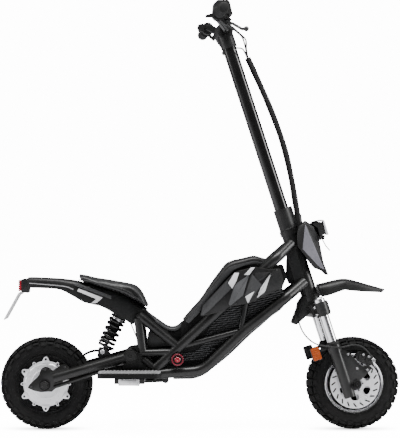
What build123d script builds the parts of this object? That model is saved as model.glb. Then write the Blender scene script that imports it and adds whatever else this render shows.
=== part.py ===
from build123d import *
import math
import os

# Electric kick scooter, full suspension, 11 inch tyres.
# +X is forward, +Z is up, the rider's right is -Y.
# The origin is on the ground, midway between the axles. Units are mm.

os.makedirs("parts", exist_ok=True)

# ---------------------------------------------------------------- driving sizes
wheelbase = 945.5
tyre_outer_d = 285.0
tyre_width = 88.0
tyre_tread_half = 24.0
rim_d = 184.0
rim_width = 66.0

rake = 18.0                 # steering axis, from the vertical
fork_trail = 2.45           # steering axis meets the ground this far ahead of the front axle
fork_leg_offset = 12.0      # legs ahead of the steering axis
axle_offset = 42.0          # front axle ahead of the steering axis
steer_at_rest = 6.0         # the bars stand turned a little to the left

head_tube_r = 26.0
head_low, head_high = 418.5, 648.0     # along the steering axis, from the ground
stem_r = 21.5
steerer_r = 15.0
bar_height = 1295.0         # clamp barrel, along the steering axis
bar_back, bar_rise = 34.98, 28.39      # grips from the clamp, with the bars straight

frame_tube_r = 16.0
frame_half_width = 80.0
strut_r = 9.0
rear_tube_r = 14.0

pivot_x, pivot_z = -211.0, 231.0
swing_y = 78.0
swing_tube_r = 16.0
pivot_boss_r = 21.0
pivot_axle_r = 8.0

shock_top = (-243.4, 363.6)
shock_low = (-299.2, 239.6)
shock_pin_r = 5.0
shock_coil_r = 26.5
shock_wire_r = 4.5
shock_coils = 5.5

stanchion_r = 15.0
fork_leg_wall = 3.0
wheel_gap = 52.0            # from the middle plane to the inside of a fork leg
fork_stroke = 40.0
fork_leg_high, fork_leg_low = 279.0, 104.0
crown_high, crown_low = 409.0, 366.0

axle_r = 10.0
rear_axle_r = 8.0
bearing_outer_r = 19.0
disc_r = 77.0
disc_thick = 2.4
hub_motor_r = 76.0
hub_motor_half = 46.0

bar_r = 11.1
bar_centre_r = 15.9
bar_half = 310.0
grip_r = 16.5
grip_length = 118.0

foot_y_in, foot_y_out = 98.0, 190.0
foot_x_back, foot_x_front = -308.0, -116.0
foot_top, foot_thick = 188.0, 17.0

# clearances
running = 0.05              # radial, shaft in bearing or bush
gap = 0.5                   # between pieces that only lie close
seat = 0.3                  # between pieces of different bodies

# ---------------------------------------------------------------- derived places
tyre_r = tyre_outer_d / 2
rim_r = rim_d / 2
sin_rake = math.sin(math.radians(rake))
cos_rake = math.cos(math.radians(rake))
rear_axle_x = -wheelbase / 2
front_axle_x = wheelbase / 2
fork_trail_x = front_axle_x + fork_trail
fork_leg_r = stanchion_r + fork_leg_wall
fork_leg_y = wheel_gap + fork_leg_r
fork_leg_side = fork_leg_y + fork_leg_r
leg_floor = fork_leg_low + 8
stanchion_low = leg_floor + fork_stroke + 4
stanchion_top = crown_high + 9
stem_top = bar_height - 25
steering_axis = Axis((fork_trail_x, 0, 0), (-sin_rake, 0, cos_rake))
steering_plane = Plane(origin=(fork_trail_x, 0, 0), x_dir=(cos_rake, 0, sin_rake),
                       z_dir=(-sin_rake, 0, cos_rake))


def on_axis(forward, side, up):
    """World point from distances ahead of, beside and along the steering axis."""
    return (fork_trail_x + forward * cos_rake - up * sin_rake, side, forward * sin_rake + up * cos_rake)


def finish(builder, label):
    """Name a finished piece and write it."""
    builder.part.label = label
    export_step(builder.part, "parts/" + label + ".step")


def finish_steered(builder, label):
    """The same for a piece that turns with the bars, stored at the turned rest position."""
    builder.part.label = label
    turned = builder.part.rotate(steering_axis, steer_at_rest)
    turned.label = label
    export_step(turned, "parts/" + label + ".step")


def tube(points, radius, bends=None):
    """Add a round bar along straight runs joined by tangent arcs to the open part."""
    with BuildLine() as path:
        if len(points) == 2:
            Line(*points)
        else:
            FilletPolyline(*points, radius=bends)
    with BuildSketch(Plane(path.line @ 0, z_dir=path.line % 0)) as section:
        Circle(radius)
    sweep(section.sketch, path=path.line)


def slab(outline, y_low, y_high, mode=Mode.ADD):
    """Add or cut a flat-sided block: an outline of (x, z) points carried from y_low to y_high."""
    with BuildSketch(Plane.XZ.offset(-y_low)) as section:
        Polygon(*outline, align=None)
    extrude(section.sketch, amount=y_low - y_high, mode=mode)


def rod_y(x, z, radius, y_low, y_high, mode=Mode.ADD):
    """Add or cut a round bar that lies across the scooter."""
    with BuildSketch(Plane.XZ.offset(-y_low)) as section:
        with Locations((x, z)):
            Circle(radius)
    extrude(section.sketch, amount=y_low - y_high, mode=mode)


def ring_y(x, z, outer, inner, y_low, y_high, mode=Mode.ADD):
    """Add a ring that lies across the scooter."""
    with BuildSketch(Plane.XZ.offset(-y_low)) as section:
        with Locations((x, z)):
            Circle(outer)
            Circle(inner, mode=Mode.SUBTRACT)
    extrude(section.sketch, amount=y_low - y_high, mode=mode)


def rod_axis(forward, side, radius, low, high, mode=Mode.ADD):
    """Add or cut a round bar parallel to the steering axis."""
    with BuildSketch(steering_plane.offset(low)) as section:
        with Locations((forward, side)):
            Circle(radius)
    extrude(section.sketch, amount=high - low, mode=mode)


def spin(profile, x, z, mode=Mode.ADD):
    """Add or cut a wheel-like ring: a profile of (y, radius) points turned about an axle."""
    with BuildSketch(Plane(origin=(x, 0, z), x_dir=(0, 1, 0), z_dir=(1, 0, 0))) as section:
        Polygon(*profile, align=None)
    revolve(section.sketch, axis=Axis((x, 0, z), (0, 1, 0)), mode=mode)


def cable_bends(points):
    """Arc radii for a cable: 0.45 of the shorter run over the tangent of half the turn."""
    radii = []
    for before, here, after in zip(points, points[1:], points[2:]):
        first = Vector(*here) - Vector(*before)
        second = Vector(*after) - Vector(*here)
        half_turn = math.radians(first.get_angle(second)) / 2
        radii.append(0.45 * min(first.length, second.length) / math.tan(half_turn))
    return radii


def cable(points, radius, name):
    """Add a cable and print its bends, and its volume against section times length."""
    radii = cable_bends(points)
    with BuildLine() as path:
        FilletPolyline(*points, radius=radii)
    with BuildSketch(Plane(path.line @ 0, z_dir=path.line % 0)) as section:
        Circle(radius)
    made = sweep(section.sketch, path=path.line)
    length = path.wires()[0].length
    ratio = made.volume / (math.pi * radius ** 2 * length)
    print(name, "length", round(length), "bends", [round(r) for r in radii], "volume ratio", round(ratio, 3))


clamp_x, clamp_z = on_axis(0, 0, bar_height)[0], on_axis(0, 0, bar_height)[2]
bar_x, bar_z = clamp_x - bar_back, clamp_z + bar_rise

# outlines are drawn for this wheelbase and bar height, and move as a whole with other ones
drawn_axle_x = 472.75
drawn_clamp = (75.02, 1231.62)
front_move = front_axle_x - drawn_axle_x
rear_move = rear_axle_x + drawn_axle_x
clamp_move_x = clamp_x - drawn_clamp[0]
clamp_move_z = clamp_z - drawn_clamp[1]
leg_move = fork_leg_side - 88.0
stretch_back, stretch_front = -134.9, 236.0


def stretched(x):
    """Place along the scooter: the frame's pivot end stays, its head tube end goes with the front axle."""
    share = (x - stretch_back) / (stretch_front - stretch_back)
    return x + front_move * min(1.0, max(0.0, share))


def ahead(*points):
    """Outline or route points stretched with the front axle; x comes first."""
    return tuple((stretched(point[0]), *point[1:]) for point in points)


def behind(*points):
    """The same with the rear axle."""
    return tuple((point[0] + rear_move, *point[1:]) for point in points)


def at_bars(*points):
    """Outline (x, z) or route (x, y, z) points moved with the bar clamp."""
    return tuple((point[0] + clamp_move_x, *point[1:-1], point[-1] + clamp_move_z) for point in points)


def beside_leg(*points, near=30, far=90):
    """Route points on the right of the fork, moved out with the leg's side where they lie beyond near."""
    return tuple((x, y - leg_move * min(1.0, max(0.0, (-y - near) / (far - near))), z) for x, y, z in points)


# ================================================================ main frame
with BuildPart() as head_tube:
    rod_axis(0, 0, head_tube_r, head_low, head_high)
    rod_axis(0, 0, head_tube_r + 3, head_low, head_low + 16)
    rod_axis(0, 0, head_tube_r + 3, head_high - 16, head_high)
    rod_axis(0, 0, bearing_outer_r + 3, head_low, head_low + 12, mode=Mode.SUBTRACT)
    rod_axis(0, 0, bearing_outer_r + 3, head_high - 12, head_high, mode=Mode.SUBTRACT)
    rod_axis(0, 0, steerer_r + 4, head_low, head_high, mode=Mode.SUBTRACT)
finish(head_tube, "head_tube")

with BuildPart() as headset_bearings:
    for low in (head_low, head_high - 12):
        with BuildSketch(steering_plane.offset(low)) as race:
            Circle(bearing_outer_r + 3)
            Circle(steerer_r + running, mode=Mode.SUBTRACT)
        extrude(race.sketch, amount=12)
finish(headset_bearings, "headset_bearings")

upper_line = ahead((282, 30, 573), (236, frame_half_width, 531), (-134.9, frame_half_width, 193))
lower_line = ahead((322, 32, 455), (262, frame_half_width, 408), (135, frame_half_width, 308),
                   (11, frame_half_width, 187), (-138, frame_half_width, 176))
with BuildPart() as frame_sides:
    tube(upper_line, frame_tube_r, 40)
    tube(lower_line, frame_tube_r, (40, 200, 90))
    tube(ahead((-186, frame_half_width, 355), (-70, frame_half_width, 262)), rear_tube_r)
    tube(((-187, frame_half_width, 346), (-174, frame_half_width, 243)), rear_tube_r)
    tube(ahead((-176, frame_half_width, 240), (-82, frame_half_width, 243)), 12)
    tube(ahead((-172, frame_half_width, 222), (-128, frame_half_width, 184)), 11)
    tube(ahead((117, frame_half_width, 306), (-58, frame_half_width, 259)), strut_r)
    tube(ahead((125, frame_half_width, 302), (150, frame_half_width, 448)), strut_r)
    mirror(about=Plane.XZ)
finish(frame_sides, "frame_sides")

pivot_plate_in, pivot_plate_out = 46.0, 56.0
pivot_plate = ((-232, 238), (-238, 168), (-122, 168), (-130, 200), (-150, 222), (-160, 262), (-205, 256))
shock_plate = ((-178, 362), (-178, 340), (-200, 330), (-250, 345), (-264, 372), (-240, 388))
head_gusset = ahead((262, 560), (292, 574), (330, 450), (300, 432))
bridge_r = 11.0
with BuildPart() as frame_cross_tubes:
    rod_y(pivot_x, pivot_z, 19, -pivot_plate_out, pivot_plate_out)
    slab(pivot_plate, pivot_plate_in, pivot_plate_out)
    slab(pivot_plate, -pivot_plate_out, -pivot_plate_in)
    rod_y(-170, 240, bridge_r, -frame_half_width, frame_half_width)
    rod_y(-136, 177, bridge_r, -frame_half_width, frame_half_width)
    slab(((-256, 168), (-256, 154), (-166, 154), (-166, 168)), -foot_y_out + 12, foot_y_out - 12)
    rod_y(-183, 350, bridge_r, -frame_half_width, frame_half_width)
    slab(shock_plate, 32, 38)
    slab(shock_plate, -38, -32)
    rod_y(shock_top[0], shock_top[1], 6, -40, 40)
    rod_y(pivot_x, pivot_z, pivot_axle_r, -pivot_plate_out, pivot_plate_out, mode=Mode.SUBTRACT)
    # head gussets, either side of the head tube
    slab(head_gusset, 24, 31)
    slab(head_gusset, -31, -24)
    rod_y(stretched(240), 394, 8, -frame_half_width, frame_half_width)
finish(frame_cross_tubes, "frame_cross_tubes")

with BuildPart() as pivot_axle:
    rod_y(pivot_x, pivot_z, pivot_axle_r, -98, 98)
    rod_y(pivot_x, pivot_z, pivot_axle_r + 6, 95, 101)
    rod_y(pivot_x, pivot_z, pivot_axle_r + 6, -101, -95)
finish(pivot_axle, "pivot_axle")

# ---------------------------------------------------------------- battery and covers
case_half = 60.0
case_wall = 3.0
case_outline = ahead((256, 508), (268, 474), (250, 430), (232, 412), (138, 330), (22, 218), (-60, 214),
                (-62, 246), (24, 352), (110, 452), (176, 500))
pack_outline = ahead((248, 500), (260, 472), (244, 434), (228, 420), (130, 340), (20, 226), (-50, 222),
                (-52, 244), (30, 346), (114, 444), (180, 490))
with BuildPart() as battery_case:
    slab(case_outline, -case_half, case_half)
    slab(pack_outline, -case_half + case_wall, case_half - case_wall, mode=Mode.SUBTRACT)
    # charge port tunnel
    rod_y(stretched(-40), 232, 5, -case_half, case_half, mode=Mode.SUBTRACT)
finish(battery_case, "battery_case")

cell_outline = ahead((240, 492), (252, 470), (238, 438), (222, 428), (128, 350), (30, 254), (24, 250),
                (50, 352), (120, 438), (184, 482))
with BuildPart() as battery_pack:
    slab(cell_outline, -case_half + case_wall + gap, case_half - case_wall - gap)
finish(battery_pack, "battery_pack")

controller_outline = ahead((-149, 312), (-160, 296), (-160, 262), (-155, 252), (-80, 262), (-78, 272),
                           (-100, 312))
with BuildPart() as controller:
    slab(controller_outline, -50, 50)
finish(controller, "controller")

top_outer = ahead((-52, 334), (-51, 343), (1.2, 401.4), (47.2, 468.9), (80.9, 511.8), (99.3, 521),
                  (166.8, 536.3),
             (205, 527))
top_inner = ahead((196, 509.5), (166, 513), (112, 500), (84, 474), (5, 394), (-13, 361), (-42, 330))
top_half = 62.0
with BuildPart() as top_cover:
    slab(top_outer + top_inner, -top_half, top_half)
    top_room = tuple((x + 6, z - 9) for x, z in top_outer[1:-1])
    top_room += ahead((190, 490), (112, 460), (84, 440), (0, 350), (-30, 320))
    slab(top_room, -top_half + 4, top_half - 4, mode=Mode.SUBTRACT)
finish(top_cover, "top_cover")

side_outline = ahead((2, 352), (8, 386), (84, 466), (112, 491), (168, 505), (210, 497), (245.4, 500.2),
                (257.6, 460.5),
                (248.5, 439.1), (153.8, 393.4), (92.8, 382), (60, 366))
side_in, side_out = frame_half_width + frame_tube_r, 106.0
with BuildPart() as side_covers:
    slab(side_outline, side_in, side_out)
    chamfer(side_covers.faces().sort_by(Axis.Y)[-1].edges(), 6)
    mirror(about=Plane.XZ)
finish(side_covers, "side_covers")

grille_in, grille_out = case_half + gap, frame_half_width - frame_tube_r - gap
grille_front = ahead((150, 392), (252, 440), (262, 424), (150, 338), (136, 328))
grille_mid = ahead((-8, 236), (40, 258), (132, 300), (140, 360), (146, 390), (90, 380), (30, 322))
grille_rear = ahead((-64, 212), (18, 222), (60, 262), (0, 250), (-60, 236))
with BuildPart() as side_grilles:
    for outline in (grille_front, grille_mid, grille_rear):
        slab(outline, grille_in, grille_out)
    mirror(about=Plane.XZ)
finish(side_grilles, "side_grilles")

belly_outer = ahead((274, 398), (250, 369), (222, 349), (154, 290), (124, 262), (93, 231), (38, 187),
                    (16, 170),
               (1, 163),
               (-17, 157.6), (-80, 155.4))
belly_inner = ahead((-82, 164), (-16, 170), (14, 186), (34, 202), (140, 296), (216, 364), (252, 392),
                    (266, 404))
belly_half = 57.0
with BuildPart() as belly_pan:
    slab(belly_outer + belly_inner, -belly_half, belly_half)
finish(belly_pan, "belly_pan")

port_x, port_z = stretched(-67.4), 221.6
port_r, port_bore_r, port_neck_r = 18.0, 6.0, 8.0
port_face = -110.0
port_depth = 12.0
with BuildPart() as charge_port:
    rod_y(port_x, port_z, port_r, port_face, -97)
    rod_y(port_x, port_z, port_neck_r, -97, -grille_out)
    rod_y(port_x, port_z, port_bore_r, port_face, port_face + port_depth, mode=Mode.SUBTRACT)
finish(charge_port, "charge_port")

spine_outline = ahead((-160, 366), (-131, 335), (-107, 315), (-86, 307), (-66, 310), (-50, 327), (-58, 331),
                 (-70, 322),
                 (-86, 319), (-104, 326), (-127, 344), (-153, 372))
with BuildPart() as spine_cover:
    slab(spine_outline, -44, 44)
finish(spine_cover, "spine_cover")

# ---------------------------------------------------------------- front cowl and headlight
light_half = 34.0
light_outline = ahead((340, 637), (353, 624), (362, 620), (366, 584), (371, 584), (372, 600), (386, 605),
                      (376, 640),
                 (360, 643))
light_room = ahead((340, 638), (352, 623), (361, 619), (365, 583), (380, 583), (400, 605), (376, 641),
                   (360, 644))
cowl_outline = ahead((327, 645), (311, 628), (305.6, 608), (304, 566), (356, 497), (377, 489), (389, 477),
                     (396, 479),
                (383, 517), (371, 576), (366, 610), (358, 622))
cowl_inner = ahead((328, 660), (318, 626), (313, 606), (312, 568), (358, 506), (376, 500), (366, 560),
                   (360, 605),
              (352, 618), (345, 660))
with BuildPart() as front_cowl:
    slab(cowl_outline, -48, 48)
    slab(cowl_inner, -44, 44, mode=Mode.SUBTRACT)
    rod_axis(0, 0, head_tube_r + 3 + gap, head_low, head_high + 20, mode=Mode.SUBTRACT)
    # bolted tongue from the head tube to the shell
    slab(ahead((302, 604), (338, 612), (338, 606), (302, 598)), -14, 14)
    rod_axis(0, 0, head_tube_r, head_low, head_high, mode=Mode.SUBTRACT)
    slab(light_room, -light_half - gap, light_half + gap, mode=Mode.SUBTRACT)
finish(front_cowl, "front_cowl")

lens_outline = ahead((342, 639.5), (360, 645.5), (376.3, 648.2), (384.1, 646.7), (398, 601.8), (388, 600),
                     (387.2, 605.5),
                (377, 641.5), (360, 643.8))
with BuildPart() as headlight_housing:
    slab(light_outline, -light_half, light_half)
finish(headlight_housing, "headlight_housing")

with BuildPart() as headlight_lens:
    slab(lens_outline, -light_half - 2, light_half + 2)
finish(headlight_lens, "headlight_lens")

# ---------------------------------------------------------------- seat pad and tail
pad_outline = ((-376.7, 477.7), (-324.5, 466), (-213.9, 447), (-192.4, 437.8), (-177, 419.4), (-164.7, 391.7),
               (-158.6, 381), (-160, 374), (-178, 388), (-205, 406), (-246, 426), (-330, 452), (-361, 454))
with BuildPart() as seat_pad:
    slab(pad_outline, -62, 62)
finish(seat_pad, "seat_pad")

tail_outline = ((-531, 464), (-526, 470), (-428.9, 465.5), (-380, 461), (-362, 452.5), (-331, 450.5),
                (-247, 424.5),
                (-206, 404.5), (-180, 386.5), (-162, 372), (-206, 326), (-250, 352), (-312, 386), (-343, 388),
                (-386, 412), (-428.9, 431.7), (-475, 436.3), (-527, 437.8), (-530, 441))
tail_inner = ((-515, 460), (-428, 458), (-392, 450), (-358, 445), (-331, 443), (-250, 416), (-210, 397),
              (-170, 366), (-200, 300), (-260, 340), (-314, 378), (-345, 380), (-390, 404),
              (-430, 424), (-515, 424))
with BuildPart() as tail_body:
    slab(tail_outline, -48, 48)
    slab(tail_inner, -44, 44, mode=Mode.SUBTRACT)
    # lamp holder at the end
    slab(((-550, 463), (-550, 426), (-528, 422), (-528, 464)), -30, 30)
    # room for the rear frame bar
    rod_y(-183, 350, bridge_r + gap, -50, 50, mode=Mode.SUBTRACT)
finish(tail_body, "tail_body")

with BuildPart() as tail_lamp_lens:
    slab(((-558.4, 461), (-550, 462.5), (-550, 427), (-557, 427.5)), -29, 29)
finish(tail_lamp_lens, "tail_lamp_lens")

plate_top, plate_foot = (-556.0, 424.0), (-602.0, 341.0)
plate_thick = 3.0
plate_half = 60.0
plate_hole_y, plate_hole_r = 50.0, 2.75
plate_dx, plate_dz = plate_foot[0] - plate_top[0], plate_foot[1] - plate_top[1]
plate_length = math.hypot(plate_dx, plate_dz)
plate_plane = Plane(origin=((plate_top[0] + plate_foot[0]) / 2, 0, (plate_top[1] + plate_foot[1]) / 2),
                    x_dir=(0, 1, 0), z_dir=(plate_dz, 0, -plate_dx))
with BuildPart() as plate_carrier:
    with BuildSketch(plate_plane) as panel:
        RectangleRounded(2 * plate_half, plate_length, 8)
        with Locations((plate_hole_y, 0), (-plate_hole_y, 0)):
            Circle(plate_hole_r, mode=Mode.SUBTRACT)
    extrude(panel.sketch, amount=-plate_thick)
    slab(((-556, 422), (-551, 416), (-544, 421), (-544, 424.4), (-550, 425.5)), -20, 20)
finish(plate_carrier, "plate_carrier")

# ---------------------------------------------------------------- footboards, stand
with BuildPart() as footboards:
    with BuildSketch(Plane.XY.offset(foot_top - foot_thick)) as board:
        with Locations(((foot_x_back + foot_x_front) / 2, (foot_y_in + foot_y_out) / 2)):
            RectangleRounded(foot_x_front - foot_x_back, foot_y_out - foot_y_in, 22)
    extrude(board.sketch, amount=foot_thick)
    chamfer(footboards.faces().sort_by(Axis.Z)[-1].edges(), 3)
    slab(((-250, 168), (-172, 168), (-172, 171.5), (-250, 171.5)), foot_y_in + 10, foot_y_out - 14)
    mirror(about=Plane.XZ)
finish(footboards, "footboards")

stand_x, stand_z = -236.0, 141.0
stand_length = 128.0
with BuildPart() as stand_bracket:
    slab(((-250, 154), (-248, 137), (-186, 135), (-183, 154)), -34, 66)
    rod_y(stand_x, stand_z, 6, 66, 88)
finish(stand_bracket, "stand_bracket")

with BuildPart() as kickstand:
    ring_y(stand_x, stand_z, 11, 6 + running, 66.5, 86)
    tube(((stand_x + 8, 76, stand_z), (stand_x + 45, 84, stand_z - 1),
          (stand_x + stand_length, 132, stand_z - 2)), 6.5, 40)
    with BuildSketch(Plane.XZ.offset(-122)) as foot:
        with Locations((stand_x + stand_length, stand_z - 2)):
            Circle(10)
    extrude(foot.sketch, amount=-22)
finish(kickstand, "kickstand")

# ================================================================ swingarm and rear wheel
swing_bar_x, swing_bar_drop = -285.0, 1.4
swing_end_x, swing_end_z = -446 + rear_move, 163.0
swing_slope = (swing_end_z - pivot_z) / (swing_end_x - pivot_x)
swing_bar_z = pivot_z + swing_slope * (swing_bar_x - pivot_x) + swing_bar_drop
dropout = behind((-440, 190), (-418, 152), (-452, 122), (-480, 122), (-496, 142), (-484, 166), (-462, 176))
with BuildPart() as swingarm:
    tube(((pivot_x, swing_y, pivot_z), (swing_end_x, swing_y, swing_end_z)), swing_tube_r)
    rod_y(pivot_x, pivot_z, pivot_boss_r, 60, 94)
    slab(dropout, 70, 80)
    tube(((-452 + rear_move, swing_y, 134), (-290, swing_y, 188)), 6)
    mirror(about=Plane.XZ)
    rod_y(swing_bar_x, swing_bar_z, 14, -swing_y - 4, swing_y + 4)
    for side in (-1, 1):
        slab(((-312, 252), (-316, 226), (-296, 206), (-275, 206), (-272, 224), (-288, 250)),
             min(side * 18, side * 24), max(side * 18, side * 24))
    rod_y(shock_low[0], shock_low[1], shock_pin_r, -26, 26)
    rod_y(pivot_x, pivot_z, pivot_axle_r + running, 50, 100, mode=Mode.SUBTRACT)
    rod_y(pivot_x, pivot_z, pivot_axle_r + running, -100, -50, mode=Mode.SUBTRACT)
    rod_y(rear_axle_x, tyre_r, rear_axle_r, -90, 90, mode=Mode.SUBTRACT)
finish(swingarm, "swingarm")

with BuildPart() as rear_axle:
    rod_y(rear_axle_x, tyre_r, rear_axle_r, -94, 94)
    for y_low, y_high in ((80, 91), (-91, -80), (60, 70), (-70, -60)):
        ring_y(rear_axle_x, tyre_r, 17, rear_axle_r, y_low, y_high)
finish(rear_axle, "rear_axle")

motor_route = behind((-400, 52, 190), (-370, 58, 222)) + ((-330, 54, 240), (-300, 40, 236), (-268, 36, 246))
with BuildPart() as motor_cable:
    cable(motor_route, 4.0, "motor_cable")
finish(motor_cable, "motor_cable")


def tyre_profile():
    """Half-round tyre with a flat tread band and a hollow inside, as (y, radius) points."""
    side = tyre_width / 2
    outer = ((-rim_width / 2, rim_r), (-side + 3, rim_r + 14), (-side, rim_r + 26), (-side + 5, tyre_r - 13),
             (-tyre_tread_half - 4, tyre_r - 3), (-tyre_tread_half, tyre_r), (tyre_tread_half, tyre_r),
             (tyre_tread_half + 4, tyre_r - 3), (side - 5, tyre_r - 13), (side, rim_r + 26),
             (side - 3, rim_r + 14), (rim_width / 2, rim_r))
    inner = ((rim_width / 2 - 7, rim_r), (side - 10, rim_r + 24), (tyre_tread_half, tyre_r - 16),
             (-tyre_tread_half, tyre_r - 16), (-side + 10, rim_r + 24), (-rim_width / 2 + 7, rim_r))
    return outer + inner


with BuildPart() as rear_tyre:
    spin(tyre_profile(), rear_axle_x, tyre_r)
finish(rear_tyre, "rear_tyre")

motor_profile = ((-hub_motor_half, rear_axle_r + running), (-hub_motor_half - 8, 24), (-hub_motor_half, 40),
                 (-hub_motor_half + 6, hub_motor_r), (-rim_width / 2, rim_r - 10), (-rim_width / 2, rim_r),
                 (rim_width / 2, rim_r), (rim_width / 2, rim_r - 10), (hub_motor_half - 6, hub_motor_r),
                 (hub_motor_half, 40), (hub_motor_half + 8, 24), (hub_motor_half, rear_axle_r + running))
with BuildPart() as hub_motor:
    spin(motor_profile, rear_axle_x, tyre_r)
finish(hub_motor, "hub_motor")

# ---------------------------------------------------------------- rear shock
shock_dx = shock_low[0] - shock_top[0]
shock_dz = shock_low[1] - shock_top[1]
shock_length = math.hypot(shock_dx, shock_dz)
shock_plane = Plane(origin=(shock_top[0], 0, shock_top[1]), x_dir=(0, 1, 0), z_dir=(shock_dx, 0, shock_dz))


def on_shock(radius, low, high, mode=Mode.ADD, inner=0):
    """Add or cut a round bar on the shock's own axis, measured down from the upper eye."""
    with BuildSketch(shock_plane.offset(low)) as section:
        Circle(radius)
        if inner:
            Circle(inner, mode=Mode.SUBTRACT)
    extrude(section.sketch, amount=high - low, mode=mode)


rod_r = 6.0
with BuildPart() as shock_body:
    rod_y(shock_top[0], shock_top[1], 12, -15, 15)
    on_shock(11, 4, 24)
    on_shock(24, 16, 22)
    on_shock(16, 22, 84)
    rod_y(shock_top[0], shock_top[1], 6 + running, -20, 20, mode=Mode.SUBTRACT)
    on_shock(rod_r + running, 30, 90, mode=Mode.SUBTRACT)
finish(shock_body, "shock_body")

with BuildPart() as shock_rod:
    rod_y(shock_low[0], shock_low[1], 12, -15, 15)
    on_shock(rod_r, 46, shock_length - 4)
    on_shock(24, shock_length - 22, shock_length - 16)
    rod_y(shock_low[0], shock_low[1], shock_pin_r + 0.6, -20, 20, mode=Mode.SUBTRACT)
finish(shock_rod, "shock_rod")

spring_length = shock_length - 44 - 2 * shock_wire_r
spring_mean_r = shock_coil_r - shock_wire_r
with BuildPart() as shock_spring:
    with BuildLine():
        coil = Helix(pitch=spring_length / shock_coils, height=spring_length, radius=spring_mean_r,
                     center=(0, 0, 0), direction=(0, 0, 1))
    with BuildSketch(Plane(coil @ 0, z_dir=coil % 0)) as wire:
        Circle(shock_wire_r)
    sweep(wire.sketch, path=coil, is_frenet=True)
shock_spring.part.location = shock_plane.offset(22 + shock_wire_r).location
finish(shock_spring, "shock_spring")

# ================================================================ steering: stem and bars
with BuildPart() as stem_tube:
    rod_axis(0, 0, steerer_r, crown_low, head_high + 40)
    rod_axis(0, 0, stem_r, head_high + 3, stem_top)
finish_steered(stem_tube, "stem_tube")

collar_low, collar_high, collar_r = head_high + 4, head_high + 68, 26.5
with BuildPart() as stem_collar:
    rod_axis(0, 0, collar_r, collar_low, collar_high)
    with BuildSketch(steering_plane.offset(collar_low)) as lug:
        with Locations((collar_r - 1, 0)):
            Rectangle(11, 22)
    extrude(lug.sketch, amount=collar_high - collar_low)
    rod_axis(0, 0, stem_r, collar_low, collar_high, mode=Mode.SUBTRACT)
    with BuildSketch(steering_plane.offset(collar_low)) as slit:
        with Locations((collar_r + 4, 0)):
            Rectangle(22, 2)
    extrude(slit.sketch, amount=collar_high - collar_low, mode=Mode.SUBTRACT)
    for up in (12, 32, 52):
        where = on_axis(collar_r + 1, 0, collar_low + up)
        rod_y(where[0], where[2], 3.5, -15, 15)
finish_steered(stem_collar, "stem_collar")

with BuildPart() as bar_clamp:
    rod_y(clamp_x, clamp_z, 25.5, -32, 32)
    rod_axis(0, 0, 25, stem_top - 30, bar_height - 12)
    # display post on top of the clamp
    slab(((clamp_x - 14, clamp_z + 18), (clamp_x - 12, clamp_z + 51.4), (clamp_x + 16, clamp_z + 48.4),
          (clamp_x + 14, clamp_z + 18)), -12, 12)
    rod_axis(0, 0, stem_r, stem_top - 40, stem_top, mode=Mode.SUBTRACT)
    rod_y(clamp_x, clamp_z, bar_centre_r, -40, 40, mode=Mode.SUBTRACT)
finish_steered(bar_clamp, "bar_clamp")

bar_line = ((bar_x, -bar_half, bar_z), (bar_x, -122, bar_z), (clamp_x, -60, clamp_z), (clamp_x, 60, clamp_z),
            (bar_x, 122, bar_z), (bar_x, bar_half, bar_z))
with BuildPart() as handlebar:
    tube(bar_line, bar_r, 50)
    rod_y(clamp_x, clamp_z, bar_centre_r, -40, 40)
finish_steered(handlebar, "handlebar")

grip_inner = bar_half - grip_length
with BuildPart() as grips:
    ring_y(bar_x, bar_z, grip_r, bar_r, grip_inner, bar_half)
    rod_y(bar_x, bar_z, grip_r, bar_half, bar_half + 4)
    ring_y(bar_x, bar_z, 21, bar_r, grip_inner, grip_inner + 4)
    mirror(about=Plane.XZ)
finish_steered(grips, "grips")

display_outline = at_bars((46, 1319), (52, 1324), (84, 1325), (90, 1317), (99, 1280), (43, 1288))
with BuildPart() as display:
    slab(display_outline, -38, 38)
finish_steered(display, "display")

with BuildPart() as display_screen:
    slab(at_bars((45.4, 1317), (42.5, 1290), (40.5, 1290.3), (43.4, 1317.4)), -30, 30)
finish_steered(display_screen, "display_screen")

# brake levers lie in a plane that points forward and down from the grips
lever_tilt = 41.0
lever_ahead = math.cos(math.radians(lever_tilt))
lever_down = math.sin(math.radians(lever_tilt))
perch_y = 176.0
lever_pivot = 34.0
lever_tip, lever_tip_y = 91.0, 290.0


def lever_point(reach, side_y):
    """World point at a reach from the grip's centre line in the lever's plane."""
    return (bar_x + reach * lever_ahead, side_y, bar_z - reach * lever_down)


lever_normal = (lever_down, 0, lever_ahead)
with BuildPart() as lever_perches:
    ring_y(bar_x, bar_z, 16, bar_r, perch_y - 9, perch_y + 9)
    with BuildSketch(Plane(origin=lever_point(24, perch_y), x_dir=(0, 1, 0), z_dir=lever_normal)) as arm:
        RectangleRounded(18, 34, 5)
    extrude(arm.sketch, amount=12, both=True)
    with BuildSketch(Plane(origin=lever_point(lever_pivot, perch_y), x_dir=(0, 1, 0),
                           z_dir=lever_normal)) as slot:
        with Locations((4, 1)):
            Rectangle(26, 26)
    extrude(slot.sketch, amount=5, both=True, mode=Mode.SUBTRACT)
    ring_y(bar_x, bar_z, bar_r + 0.01, 2, perch_y - 12, perch_y + 12, mode=Mode.SUBTRACT)
    with BuildSketch(Plane(origin=lever_point(lever_pivot, perch_y), x_dir=(0, 1, 0),
                           z_dir=lever_normal)) as pin:
        Circle(3)
    extrude(pin.sketch, amount=12, both=True)
    mirror(about=Plane.XZ)
finish_steered(lever_perches, "lever_perches")


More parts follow.
